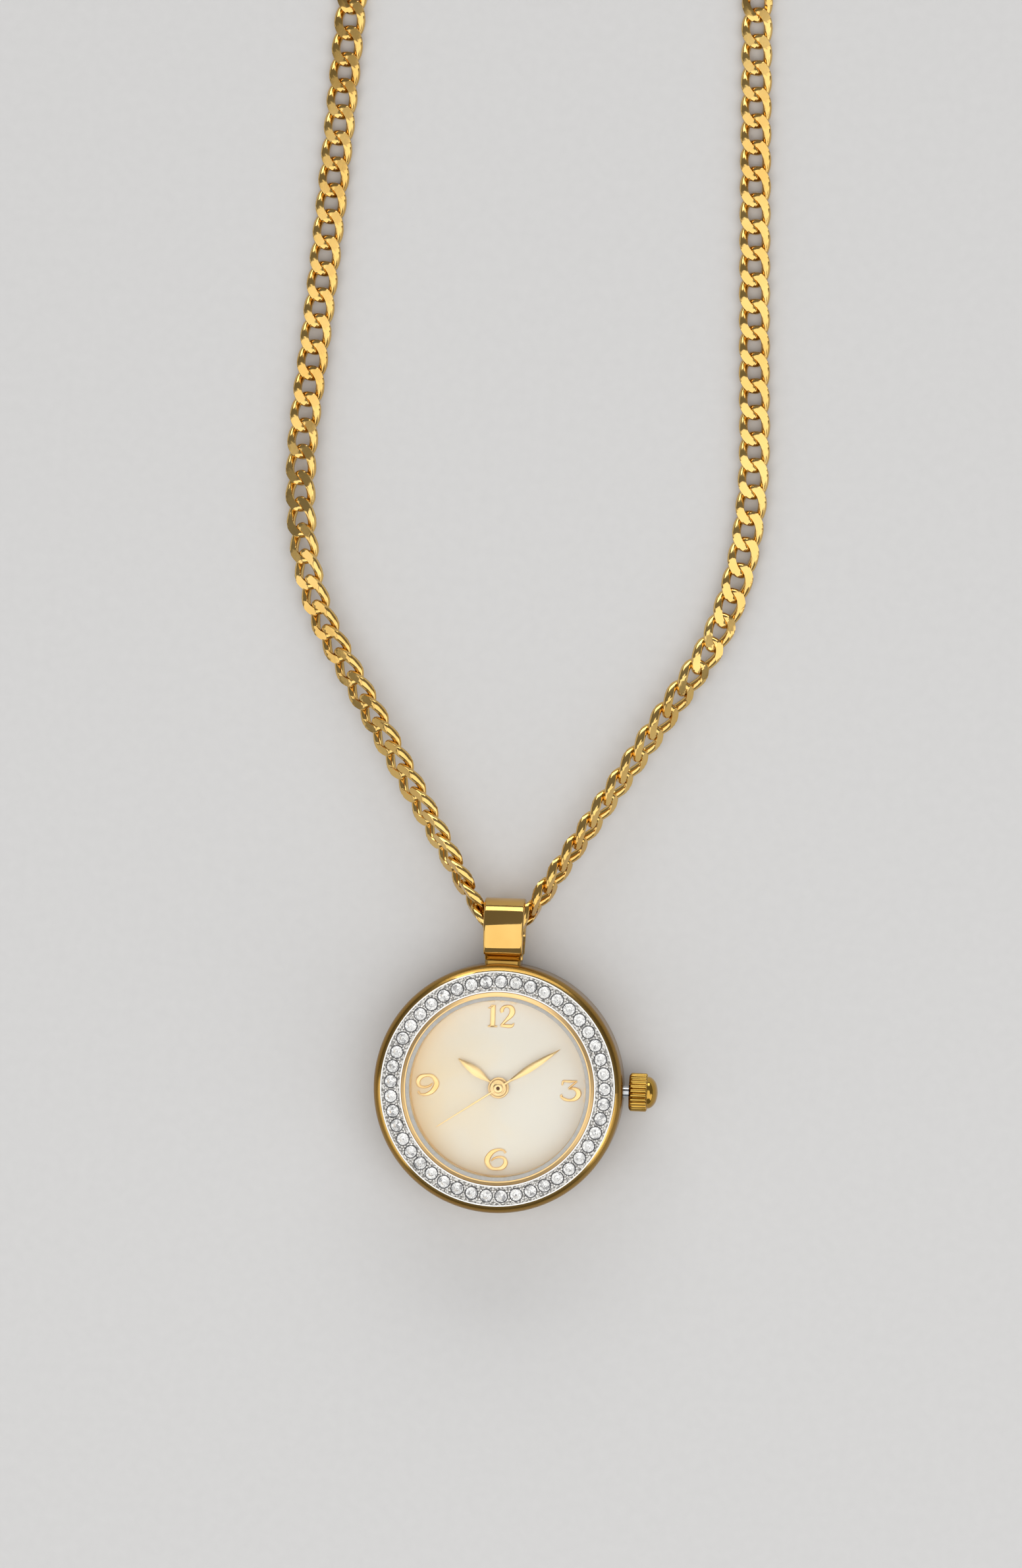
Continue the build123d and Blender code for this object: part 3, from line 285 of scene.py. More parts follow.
# The clasp lies in the run at X -4, and each arm ends at its own ring there
clasp_run_x = -4
clasp_run_slack = 1.5
clasp_run_low = 122
clasp_run_high = 158
clasp_ring_hook_y = 148.3
end_ring_hook_y = 134.3
clasp_run = [
    i for i, p in enumerate(route_line)
    if abs(p.x - clasp_run_x) < clasp_run_slack and clasp_run_low < p.y < clasp_run_high
]
left_end = min(clasp_run, key=lambda i: abs(route_line[i].y - clasp_ring_hook_y))
right_end = min(clasp_run, key=lambda i: abs(route_line[i].y - end_ring_hook_y))
left_run = travelled[left_end]
right_run = chain_run - travelled[right_end]
clasp_pieces = [nodes[name] for name in ("clasp_body", "clasp_gate", "clasp_pin", "clasp_ring")]
chain_sides = (
    ("chain_left", left_run, left_rolls, 0, 0.168, [middle_link, *clasp_pieces]),
    ("chain_right", right_run, right_rolls, chain_run, 0.216, [nodes["end_ring"]]),
)
for side_name, run, rolls, side_start, real_length, fittings in chain_sides:
    heading = -1 if side_start else 1
    count = round(run / link_pitch)
    link_points = []
    link_faces = []
    for i in range(count):
        hook = along_route(side_start + heading * run * i / count)
        next_hook = along_route(side_start + heading * run * (i + 1) / count)
        roll = roll_at(run * (i if heading > 0 else i + 1) / count, rolls)
        link = shown_link if hook.y < shown_reach else stored_link
        ends = (hook, next_hook) if heading > 0 else (next_hook, hook)
        lay_link(link, *ends, roll, link_points, link_faces)
    links = make_piece(
        side_name + "_links", link_points, link_faces, [chain_gold], "watch", crease=link_crease
    )
    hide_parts(side_name)


# Clasp and jump rings: a cast brass lobster clasp whose sprung gate turns on a steel pin, and two
# rings of bent wire that join the chain's ends to it. They are plated and polished with the chain.
def dress(names, material):
    """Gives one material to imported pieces."""
    for name in names:
        slots = nodes[name].material_slots
        for slot in slots:
            slot.material = material
        if not slots:
            nodes[name].data.materials.append(material)


dress(["clasp_body", "clasp_gate", "clasp_ring", "end_ring"], chain_gold)
# Steel turned on a lathe: a cool grey with a soft gloss
turned_steel = worked_metal(
    "turned_steel", light="#C9CBCC", deep="#B4B7BA", sheen=0.16, dull=0.3, cloud=2.0, mark=0.12
)
dress(["clasp_pin"], turned_steel)


# Case: turned from brass, gold plated and polished, with a satin flank and a satin lip that holds
# the glass in its gasket. The back is pressed from brass, plated too and snapped on from behind,
# with a notch for the knife that opens it.
def reach_from_axis(tree):
    """The socket that says how far a point is from the watch's axis, in metres."""
    place = add_node(tree, "TexCoord", {})
    flat = add_node(
        tree, "VectorMath", {"operation": "MULTIPLY", 1: (1, 1, 0)}, {0: place.outputs["Object"]}
    )
    reach = add_node(tree, "VectorMath", {"operation": "LENGTH"}, {0: flat.outputs["Vector"]})
    return reach.outputs["Value"]


# Gold plate on turned and polished brass: bright bands on the rounded shoulder. The satin flank's
# colour is darkened to brown as painted shade, for the dim room that it mirrors softly, and the
# satin lip's colour is lightened to the palest gold as painted light.
case_gold = worked_metal(
    "polished_gold_plated_case", light="#E0BB70", deep="#D2A95A", sheen=0.1, dull=0.2,
    cloud=14.0, mark=0.3,
)
case_tree = case_gold.node_tree
case_shader = case_tree.nodes["Principled BSDF"]
case_reach = reach_from_axis(case_tree)
flank_start = {"From Min": 12.26 / mm_per_metre, "From Max": 12.45 / mm_per_metre}
lip_end = {"From Min": 10.1 / mm_per_metre, "From Max": 10.4 / mm_per_metre}
# Masks by distance from the axis: painted shade on the flank, painted light on the lip
flank_painted_shade_mask = add_node(case_tree, "MapRange", flank_start, {"Value": case_reach})
flank_gloss = add_node(
    case_tree, "MapRange", {**flank_start, "To Min": 0.1, "To Max": 0.25}, {"Value": case_reach}
)
lip_painted_light_mask = add_node(
    case_tree, "MapRange", {**lip_end, "To Min": 1.0, "To Max": 0.0}, {"Value": case_reach}
)
lip_gloss = add_node(
    case_tree, "MapRange", {**lip_end, "To Min": 0.45, "To Max": 0.0}, {"Value": case_reach}
)
case_gloss = add_node(
    case_tree, "Math", {"operation": "MAXIMUM"},
    {0: flank_gloss.outputs["Result"], 1: lip_gloss.outputs["Result"]},
)
shoulder_tone = case_shader.inputs["Base Color"].links[0].from_socket
# Painted shade: the flank's colour times a brown grey; painted light: the lip's colour mixed towards
# pale gold
flank_painted_shade = add_node(
    case_tree, "MixRGB", {"blend_type": "MULTIPLY", "Color2": from_hex("#B6AC96")},
    {"Fac": flank_painted_shade_mask.outputs["Result"], "Color1": shoulder_tone},
)
lip_painted_light = add_node(
    case_tree, "MixRGB", {"Color2": from_hex("#EFCB90")},
    {"Fac": lip_painted_light_mask.outputs["Result"], "Color1": flank_painted_shade.outputs["Color"]},
)
case_tree.links.new(lip_painted_light.outputs["Color"], case_shader.inputs["Base Color"])
case_tree.links.new(case_gloss.outputs["Value"], case_shader.inputs["Roughness"])
dress(["case_middle"], case_gold)

# Gold plate on brass brushed in rings: satin, with a soft fan of light. The brushed lines are
# some hundredths of a millimetre apart, and are drawn 0.25 mm apart so that they show.
back_gold = worked_metal(
    "brushed_gold_plated_back", light="#DDB76C", deep="#CDA458", sheen=0.2, dull=0.32,
    cloud=8.0, mark=0.3,
)
# A wave texture repeats each time its coordinate grows by this much
wave_repeat = 0.31416
brush_pitch = 0.25
brush_depth = 0.01
back_tree = back_gold.node_tree
back_shader = back_tree.nodes["Principled BSDF"]
back_place = add_node(back_tree, "TexCoord", {})
back_rings = add_node(
    back_tree, "TexWave",
    {
        "wave_type": "RINGS", "rings_direction": "Z",
        "Scale": wave_repeat * mm_per_metre / brush_pitch, "Distortion": 0.3, "Detail": 1,
    },
    {"Vector": back_place.outputs["Object"]},
)
back_relief = add_node(
    back_tree, "Bump", {"Strength": 0.4, "Distance": brush_depth / mm_per_metre},
    {"Height": back_rings.outputs["Fac"]},
)
back_tree.links.new(back_relief.outputs["Normal"], back_shader.inputs["Normal"])
dress(["case_back"], back_gold)

# Stone ring: cast in white metal, with a cone cut for each stone between two milled rims, plated
# with rhodium and pressed into the case. Small beads raised from its metal hold the stones.
stone_orbit = 11.15
stone_count = 45
ring_floor = 6.78
rim_start = {"From Min": 0.92 / mm_per_metre, "From Max": 0.98 / mm_per_metre}
# Rhodium plate on cast and cut metal: a speckle of light and dark greys between the stones, drawn
# 0.22 mm wide so that it shows, and smooth pale rims. The dark greys between the stones are partly
# painted shade, for the shade that falls between the stones and beads.
ring_metal = worked_metal(
    "cast_rhodium_plated_ring", light="#BFBDB8", deep="#6E6C68", sheen=0.16, dull=0.3,
    cloud=0.22, mark=0.12, spread=0.07,
)
ring_tree = ring_metal.node_tree
ring_shader = ring_tree.nodes["Principled BSDF"]
ring_offset = add_node(
    ring_tree, "Math", {"operation": "SUBTRACT", 1: stone_orbit / mm_per_metre},
    {0: reach_from_axis(ring_tree)},
)
ring_distance = add_node(
    ring_tree, "Math", {"operation": "ABSOLUTE"}, {0: ring_offset.outputs["Value"]}
)
ring_rim = add_node(ring_tree, "MapRange", rim_start, {"Value": ring_distance.outputs["Value"]})
floor_speckle_and_painted_shade = ring_shader.inputs["Base Color"].links[0].from_socket
# The floor between the rims, partly painted shade, is darker than the pale rims
ring_tone = add_node(
    ring_tree, "MixRGB", {"Color2": from_hex("#DAD8D3")},
    {"Fac": ring_rim.outputs["Result"], "Color1": floor_speckle_and_painted_shade},
)
ring_tree.links.new(ring_tone.outputs["Color"], ring_shader.inputs["Base Color"])
dress(["stone_ring"], ring_metal)

# Polished rhodium plate: almost white, so that each bead is one point of light
bead_metal = worked_metal(
    "polished_rhodium_plate", light="#F2F0EC", deep="#DEDCD7", sheen=0.12, dull=0.25,
    cloud=1.0, mark=0.15,
)
bead_radius = 0.17
bead_sides = 8
bead_layers = ((0, 1), (0.09, 0.87), (0.14, 0.5))
bead_top = 0.16
bead_sink = 0.02
bead_rows = (-0.49, 0.49)
bead_pair = (-0.15, 0.15)
bead_points = []
bead_faces = []
for i in range(stone_count):
    gap_angle = radians(90 + 360 * (i + 0.5) / stone_count)
    for row in bead_rows:
        for lean in bead_pair:
            radius = stone_orbit + row
            angle = gap_angle + lean / radius
            middle = Vector((radius * cos(angle), radius * sin(angle), ring_floor - bead_sink))
            first = len(bead_points)
            for height, width in bead_layers:
                for j in range(bead_sides):
                    spin = 2 * pi * j / bead_sides
                    reach = width * bead_radius
                    bead_points.append(middle + Vector((cos(spin) * reach, sin(spin) * reach, height)))
            bead_points.append(middle + Vector((0, 0, bead_top)))
            tip = len(bead_points) - 1
            for layer in range(len(bead_layers) - 1):
                low = first + layer * bead_sides
                for j in range(bead_sides):
                    a, b = low + j, low + (j + 1) % bead_sides
                    bead_faces.append((a, b, b + bead_sides, a + bead_sides))
            for j in range(bead_sides):
                bead_faces.append((tip - bead_sides + j, tip - bead_sides + (j + 1) % bead_sides, tip))
beads = make_piece("stone_beads", bead_points, bead_faces, [bead_metal], "watch", crease=60)

# Stone seats: the cones that a cutter bores into the ring's white metal, one under each stone, so
# that the stone rests on its girdle. They are cut after the ring is cast and never polished.
# Their dark grey is painted shadow for the shade in each cut, with some tarnish of the bored
# metal: a dull dark grey that draws a line round each stone
seat_painted_shadow_metal = worked_metal(
    "bored_metal_with_painted_shadow", light="#4E4E50", deep="#38383A", sheen=0.4, dull=0.55, cloud=0.5, mark=0.1
)
seat_sides = 24
seat_layers = ((0.72, 0.012), (0.56, 0.03))
seat_points = []
seat_faces = []
for i in range(stone_count):
    angle = radians(90 + 360 * i / stone_count)
    for radius, height in seat_layers:
        for j in range(seat_sides):
            turn = 2 * pi * j / seat_sides
            seat_points.append((
                stone_orbit * cos(angle) + radius * cos(turn),
                stone_orbit * sin(angle) + radius * sin(turn),
                ring_floor + height,
            ))
    for j in range(seat_sides):
        a = 2 * seat_sides * i + j
        b = 2 * seat_sides * i + (j + 1) % seat_sides
        seat_faces.append((a, b, b + seat_sides, a + seat_sides))
seats = make_piece("stone_seat_shadows", seat_points, seat_faces, [seat_painted_shadow_metal], "watch", crease=60)

# Stones: 45 round brilliants of clear crystal glass, pressed, cut and polished, each held in its
# seat by the beads. A silver foil is fixed behind the lower facets to throw the light back.
girdle_level = 6.84
culet_depth = 0.5
stone_spin = 3.7
fold = 8
# A stone's corners: how many, how far out, how high over the girdle, and how far turned
stone_layers = [
    (fold, 0.34, 0.2, 0.5), (fold, 0.5, 0.13, 0), (2 * fold, 0.63, 0.02, 0), (fold, 0.36, -0.27, 0),
]
# Cut crystal glass: clear, with a hard white glint on each facet. Its polish drifts over 0.8 mm.
crystal, crystal_tree, crystal_shader = new_material(
    "cut_crystal_glass",
    {"Transmission Weight": 0.8, "IOR": 1.55, "Base Color": from_hex("#FFFEFA"), "Coat Weight": 0.5},
)
crystal_place = add_node(crystal_tree, "TexCoord", {})
crystal_noise = add_node(
    crystal_tree, "TexNoise", {"Scale": mm_per_metre / 0.8},
    {"Vector": crystal_place.outputs["Object"]},
)
crystal_gloss = add_node(
    crystal_tree, "MapRange", {"To Min": 0.0, "To Max": 0.06}, {"Value": crystal_noise.outputs["Fac"]}
)
crystal_tree.links.new(crystal_gloss.outputs["Result"], crystal_shader.inputs["Roughness"])

# Silver foil: painted flashes of white and a few of grey, each 0.32 mm across, as wide as a facet,
# as painted reflections of facets that mirror the bright and the dark parts of the room
foil, foil_tree, foil_shader = new_material("silver_foil", {"Metallic": 1})
foil_place = add_node(foil_tree, "TexCoord", {})
foil_cells = add_node(
    foil_tree, "TexVoronoi", {"Scale": mm_per_metre / 0.32}, {"Vector": foil_place.outputs["Object"]}
)
foil_share = add_node(foil_tree, "SeparateXYZ", {}, {"Vector": foil_cells.outputs["Color"]})
foil_painted_reflections = add_node(foil_tree, "ValToRGB", {}, {"Fac": foil_share.outputs["X"]})
foil_painted_reflections.color_ramp.interpolation = "CONSTANT"
foil_painted_reflections.color_ramp.elements[0].color = from_hex("#8A8A8D")
foil_painted_reflections.color_ramp.elements[1].position = 0.14
foil_painted_reflections.color_ramp.elements[1].color = from_hex("#EFEFEF")
foil_painted_glint = foil_painted_reflections.color_ramp.elements.new(0.3)
foil_painted_glint.color = from_hex("#FFFFFF")
foil_gloss = add_node(
    foil_tree, "MapRange", {"To Min": 0.05, "To Max": 0.3}, {"Value": foil_share.outputs["Y"]}
)
foil_tree.links.new(foil_painted_reflections.outputs["Color"], foil_shader.inputs["Base Color"])
foil_tree.links.new(foil_gloss.outputs["Result"], foil_shader.inputs["Roughness"])

stone_points = []
stone_faces = []
stone_foil = []
for i in range(stone_count):
    angle = radians(90 + 360 * i / stone_count)
    middle = Vector((stone_orbit * cos(angle), stone_orbit * sin(angle), girdle_level))
    spin = angle * stone_spin
    first = len(stone_points)
    for count, radius, height, lag in stone_layers:
        for j in range(count):
            turn = spin + 2 * pi * (j + lag) / count
            stone_points.append(middle + Vector((radius * cos(turn), radius * sin(turn), height)))
    stone_points.append(middle + Vector((0, 0, -culet_depth)))
    table = first
    kite = first + fold
    girdle = first + 2 * fold
    belly = first + 4 * fold
    culet = first + 5 * fold
    stone_faces.append([table + j for j in range(fold)])
    stone_foil.append(0)
    for j in range(fold):
        before = (j - 1) % fold
        after = (j + 1) % fold
        edge = [girdle + (2 * j + k) % (2 * fold) for k in range(3)]
        top = [
            (table + before, kite + j, table + j),
            (kite + j, edge[0], edge[1], table + j),
            (table + j, edge[1], edge[2], kite + after),
        ]
        low = [
            (edge[0], belly + j, edge[1]),
            (edge[1], belly + j, belly + after),
            (edge[1], belly + after, edge[2]),
            (belly + j, culet, belly + after),
        ]
        stone_faces.extend(top + low)
        stone_foil.extend([0] * len(top) + [1] * len(low))
stones = make_piece("crystal_stones", stone_points, stone_faces, [crystal, foil], "watch", crease=1)
for polygon, backed in zip(stones.data.polygons, stone_foil):
    polygon.material_index = backed
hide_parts("ring_stones")

# Glass and seals: a flat disc of mineral glass, ground and polished, is pressed into a moulded
# gasket of grey nylon, which shows as a grey line round the dial. Moulded rings of nitrile rubber
# seal the back and the crown.

# Polished mineral glass: clear to the dial, with a faint sheen. Its polish drifts over 8 mm.
glass, glass_tree, glass_shader = new_material(
    "polished_mineral_glass",
    {"Transmission Weight": 1, "IOR": 1.5, "Base Color": from_hex("#FDFEFE"), "Alpha": 0.3},
)
glass_place = add_node(glass_tree, "TexCoord", {})
glass_noise = add_node(
    glass_tree, "TexNoise", {"Scale": mm_per_metre / 8.333}, {"Vector": glass_place.outputs["Object"]}
)
glass_gloss = add_node(
    glass_tree, "MapRange", {"To Min": 0.0, "To Max": 0.012}, {"Value": glass_noise.outputs["Fac"]}
)
glass_tree.links.new(glass_gloss.outputs["Result"], glass_shader.inputs["Roughness"])
dress(["glass"], glass)


def matt_material(name, light, dark, roughness, grain, depth):
    """A dull moulded or printed material, with mottles of one width and depth in millimetres."""
    material, tree, shader = new_material(name, {"Roughness": roughness})
    place = add_node(tree, "TexCoord", {})
    mottle = add_node(
        tree, "TexNoise", {"Scale": mm_per_metre / grain, "Detail": 4},
        {"Vector": place.outputs["Object"]},
    )
    tone = add_node(tree, "ValToRGB", {}, {"Fac": mottle.outputs["Fac"]})
    tone.color_ramp.elements[0].position = 0.35
    tone.color_ramp.elements[0].color = from_hex(dark)
    tone.color_ramp.elements[1].position = 0.65
    tone.color_ramp.elements[1].color = from_hex(light)
    relief = add_node(
        tree, "Bump", {"Strength": 0.4, "Distance": depth / mm_per_metre},
        {"Height": mottle.outputs["Fac"]},
    )
    tree.links.new(tone.outputs["Color"], shader.inputs["Base Color"])
    tree.links.new(relief.outputs["Normal"], shader.inputs["Normal"])
    return material


# Moulded nylon is an even pale grey with a low sheen, and moulded nitrile rubber a matt black
grey_nylon = matt_material(
    "moulded_grey_nylon", light="#BFBCB5", dark="#B4B1AA", roughness=0.5, grain=0.3, depth=0.003
)
dress(["glass_gasket"], grey_nylon)
black_rubber = matt_material(
    "moulded_nitrile_rubber", light="#2B2B2C", dark="#1D1D1E", roughness=0.7, grain=0.2, depth=0.02
)
dress(["back_gasket", "crown_gasket"], black_rubber)

# Dial: a thin slice of cream mother-of-pearl, glued to a brass plate and lacquered. Two feet
# under it stand in holes of the movement.
dial_half = 9.5
# Lacquered mother-of-pearl: its layers show as soft clouds 9 mm wide under a shallow gloss, and
# it is warmer towards the 9
nacre, nacre_tree, nacre_shader = new_material(
    "lacquered_mother_of_pearl",
    {"Roughness": 0.3, "Coat Weight": 0.3, "Coat Roughness": 0.05, "Sheen Weight": 0.2},
)
nacre_place = add_node(nacre_tree, "TexCoord", {})
nacre_axes = add_node(nacre_tree, "SeparateXYZ", {}, {"Vector": nacre_place.outputs["Object"]})
nacre_swirl = add_node(
    nacre_tree, "TexNoise", {"Scale": mm_per_metre / 9, "Detail": 2, "Distortion": 0.6},
    {"Vector": nacre_place.outputs["Object"]},
)
nacre_side = add_node(
    nacre_tree, "MapRange",
    {
        "From Min": -dial_half / mm_per_metre, "From Max": dial_half / mm_per_metre,
        "To Min": 0.0, "To Max": 0.8,
    },
    {"Value": nacre_axes.outputs["X"]},
)
nacre_cloud = add_node(
    nacre_tree, "MapRange", {"From Min": 0.3, "From Max": 0.7, "To Min": -0.08, "To Max": 0.2},
    {"Value": nacre_swirl.outputs["Fac"]},
)
nacre_mix = add_node(
    nacre_tree, "Math", {"operation": "ADD"},
    {0: nacre_side.outputs["Result"], 1: nacre_cloud.outputs["Result"]},
)
nacre_tone = add_node(nacre_tree, "ValToRGB", {}, {"Fac": nacre_mix.outputs["Value"]})
nacre_tone.color_ramp.elements[0].color = from_hex("#FFE9BC")
nacre_tone.color_ramp.elements[1].color = from_hex("#F6F3E8")
nacre_middle = nacre_tone.color_ramp.elements.new(0.45)
nacre_middle.color = from_hex("#FAF3E0")
nacre_layers = add_node(
    nacre_tree, "Bump", {"Strength": 0.15, "Distance": 0.02 / mm_per_metre},
    {"Height": nacre_swirl.outputs["Fac"]},
)
nacre_tree.links.new(nacre_tone.outputs["Color"], nacre_shader.inputs["Base Color"])
nacre_tree.links.new(nacre_layers.outputs["Normal"], nacre_shader.inputs["Normal"])
dress(["dial"], nacre)

# Numerals: an open old-style 12, 3, 6 and 9, pressed from gilt brass with bevelled sides, and
# riveted to the dial by small feet. Nothing else stands on the dial.
dial_top = 4.52
figure_height = 0.15
figure_shoulder = 0.06
figure_reach = 7.45
figure_bevel = 0.07
figure_top_share = 0.3
figure_weight = 1.3
# Pressed gilt brass: a pale satin gold with one brighter bevel
figure_gold = worked_metal(
    "pressed_gilt_brass", light="#F8D79A", deep="#E9C17C", sheen=0.25, dull=0.38, cloud=1.5, mark=0.2
)


def smooth_line(knots, steps=7):
    """Points along a smooth line through knots of place and half width."""
    line = []
    for i in range(len(knots) - 1):
        a, b = knots[max(i - 1, 0)], knots[i]
        c, d = knots[i + 1], knots[min(i + 2, len(knots) - 1)]
        for k in range(steps):
            t = k / steps
            line.append([
                0.5 * (2 * q + (r - p) * t + (2 * p - 5 * q + 4 * r - s) * t * t
                       + (3 * q - p - 3 * r + s) * t ** 3)
                for p, q, r, s in zip(a, b, c, d)
            ])
    line.append(list(knots[-1]))
    return line


def add_stroke(knots, place, points, faces):
    """Adds a bevelled stroke of a figure along a line, in the dial's plane."""
    line = smooth_line(knots)
    first = len(points)
    size = 6
    for i, (x, y, half) in enumerate(line):
        half *= figure_weight
        before, after = line[max(i - 1, 0)], line[min(i + 1, len(line) - 1)]
        ahead = Vector((after[0] - before[0], after[1] - before[1], 0)).normalized()
        side = Vector((-ahead.y, ahead.x, 0))
        inner = max(half - figure_bevel, half * figure_top_share)
        middle = Vector((place[0] + x, place[1] + y, dial_top))
        section = (
            (half, 0), (half, figure_shoulder), (inner, figure_height),
            (-inner, figure_height), (-half, figure_shoulder), (-half, 0),
        )
        for reach, height in section:
            points.append(middle + side * reach + Vector((0, 0, height)))
    for i in range(len(line) - 1):
        for j in range(size):
            a, b = first + size * i + j, first + size * i + (j + 1) % size
            faces.append((a, b, b + size, a + size))
    faces.append([first + j for j in range(size - 1, -1, -1)])
    faces.append([first + size * (len(line) - 1) + j for j in range(size)])


def make_figure(name, strokes, place):
    """Makes a numeral of the dial from its strokes."""
    points = []
    faces = []
    for knots in strokes:
        add_stroke(knots, place, points, faces)
    figure = make_piece(name + "_applied", points, faces, [figure_gold], "watch", crease=30)
    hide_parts(name)


one_stem = [(-0.86, 1.14, 0.2), (-0.86, 0.3, 0.2), (-0.86, -0.4, 0.2), (-0.86, -1.1, 0.2)]
one_flag = [(-0.84, 1.08, 0.07), (-1.05, 0.92, 0.08), (-1.36, 0.82, 0.05)]
one_foot = [(-1.34, -1.07, 0.07), (-0.86, -1.06, 0.09), (-0.38, -1.07, 0.07)]
two_bow = [
    (0.14, 0.42, 0.13), (0.06, 0.62, 0.16), (0.2, 0.92, 0.13), (0.55, 1.08, 0.1), (0.98, 0.96, 0.18),
    (1.16, 0.56, 0.23), (1.0, 0.12, 0.2), (0.55, -0.38, 0.13), (0.02, -0.96, 0.09),
]
two_foot = [
    (-0.02, -1.0, 0.1), (0.4, -0.98, 0.13), (0.9, -1.0, 0.15), (1.2, -0.93, 0.11), (1.36, -0.66, 0.04),
]
make_figure("numeral_12", [one_stem, one_flag, one_foot, two_bow, two_foot], (0, figure_reach))
three_top = [
    (-0.84, 0.5, 0.05), (-0.78, 0.78, 0.09), (-0.7, 0.95, 0.08), (-0.1, 0.93, 0.1), (0.72, 0.98, 0.06),
]
three_arm = [(0.7, 0.96, 0.06), (0.3, 0.6, 0.07), (-0.12, 0.22, 0.08), (0.2, 0.2, 0.09)]
three_bow = [
    (-0.1, 0.2, 0.07), (0.38, 0.22, 0.12), (0.82, -0.02, 0.2), (0.9, -0.42, 0.22), (0.6, -0.84, 0.17),
    (0.05, -1.02, 0.1), (-0.5, -0.94, 0.12), (-0.9, -0.66, 0.09), (-0.8, -0.5, 0.1),
]
make_figure("numeral_3", [three_top, three_arm, three_bow], (figure_reach, 0))
six_bowl = [
    (0.98, 0.68, 0.09), (0.7, 0.96, 0.08), (0.2, 1.0, 0.11), (-0.45, 0.7, 0.18), (-0.88, 0.1, 0.22),
    (-0.9, -0.42, 0.21), (-0.5, -0.92, 0.15), (0.1, -1.02, 0.12), (0.72, -0.82, 0.18),
    (1.0, -0.34, 0.18), (0.82, 0.12, 0.12), (0.3, 0.24, 0.09), (-0.24, 0.06, 0.08), (-0.5, -0.2, 0.05),
]
make_figure("numeral_6", [six_bowl], (0, -figure_reach))
nine_bowl = [(-x, -y, half) for x, y, half in six_bowl]
make_figure("numeral_9", [nine_bowl], (-figure_reach, 0))


# Hands: two leaves stamped from gilt brass with a soft ridge, and a thin second hand with a
# turned boss. Each is pressed on its own arbor, one over the other, and the end of the second
# hand's arbor shows in the middle.
def turned(profile, segments, shift=0):
    """Points and faces of a closed profile of radii and heights, turned about the Z axis."""
    points = []
    faces = []
    size = len(profile)
    for i in range(segments):
        angle = 2 * pi * i / segments
        for radius, height in profile:
            points.append(Vector((radius * cos(angle), radius * sin(angle), height)))
        for j in range(size):
            a, b = i * size + j, i * size + (j + 1) % size
            c, d = (i + 1) % segments * size + (j + 1) % size, (i + 1) % segments * size + j
            faces.append(tuple(shift + k for k in (a, d, c, b)))
    return points, faces


def hand_place(x, y, height, clockwise):
    """A point of a hand that points to 12, once the hand is turned clockwise."""
    turn = radians(clockwise)
    return Vector((x * cos(turn) + y * sin(turn), y * cos(turn) - x * sin(turn), height))


# Stamped gilt brass: a pale satin gold that catches light on one side of its ridge
hand_gold = worked_metal(
    "stamped_gilt_brass", light="#F9DBA2", deep="#F0CB8A", sheen=0.28, dull=0.4, cloud=2.5, mark=0.2
)
# The hands stand at about nine minutes past ten, in degrees clockwise from the 12
hour_turn = 304
minute_turn = 56
second_turn = 236
hub_segments = 64
leaf_outline = [
    (0.0, 0.26), (0.12, 0.34), (0.26, 0.72), (0.4, 0.97), (0.52, 1.0), (0.68, 0.82), (0.84, 0.48),
    (0.95, 0.2), (1.0, 0.05),
]
leaf_section = ((-1, 0), (-1, 0.07), (-0.5, 0.12), (0, 0.14), (0.5, 0.12), (1, 0.07), (1, 0))
leaf_start_share = 0.82


def leaf_hand(name, clockwise, level, length, width, hub, bore, body):
    """A leaf with a ridge along its middle, on a stepped turned hub."""
    points = []
    faces = []
    start = hub * leaf_start_share
    for share, half_share in leaf_outline:
        y = start + (length - start) * share
        half = width / 2 * half_share
        for side, height in leaf_section:
            points.append(hand_place(half * side, y, level + height, clockwise))
    size = len(leaf_section)
    for i in range(len(leaf_outline) - 1):
        for j in range(size):
            a, b = size * i + j, size * i + (j + 1) % size
            faces.append((a, a + size, b + size, b))
    faces.append(list(range(size)))
    faces.append([size * (len(leaf_outline) - 1) + j for j in range(size - 1, -1, -1)])
    rim = [
        (bore, 0), (hub, 0), (hub, 0.09), (hub - 0.06, 0.14), (hub - 0.16, 0.14), (hub - 0.22, 0.1),
        (bore, 0.1),
    ]
    hub_points, hub_faces = turned([(r, level + z) for r, z in rim], hub_segments, len(points))
    points.extend(hub_points)
    faces.extend(hub_faces)
    hand = make_piece(name + "_gilt", points, faces, [hand_gold], body, crease=25)
    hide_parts(name)


leaf_hand(
    "hour_hand", hour_turn, level=4.86, length=5.2, width=0.92, hub=1.1, bore=0.75,
    body="hour_hand_body",
)
leaf_hand(
    "minute_hand", minute_turn, level=5.2, length=7.6, width=0.74, hub=0.82, bore=0.52,
    body="minute_hand_body",
)
second_level = 5.52
second_outline = (
    (-1.6, 0.1), (-1.5, 0.11), (0.0, 0.11), (0.8, 0.1), (4.0, 0.075), (7.55, 0.05), (7.6, 0.03),
)
second_section = ((-1, 0), (-0.6, 0.13), (0.6, 0.13), (1, 0))
second_points = []
second_faces = []
for y, half in second_outline:
    for side, height in second_section:
        second_points.append(hand_place(half * side, y, second_level + height, second_turn))
size = len(second_section)
for i in range(len(second_outline) - 1):
    for j in range(size):
        a, b = size * i + j, size * i + (j + 1) % size
        second_faces.append((a, a + size, b + size, b))
boss = [
    (0.15, 0), (0.84, 0), (0.84, 0.1), (0.78, 0.14), (0.7, 0.14), (0.64, 0.1), (0.56, 0.1), (0.5, 0.16),
    (0.4, 0.2), (0.27, 0.22), (0.2, 0.2), (0.15, 0.14),
]
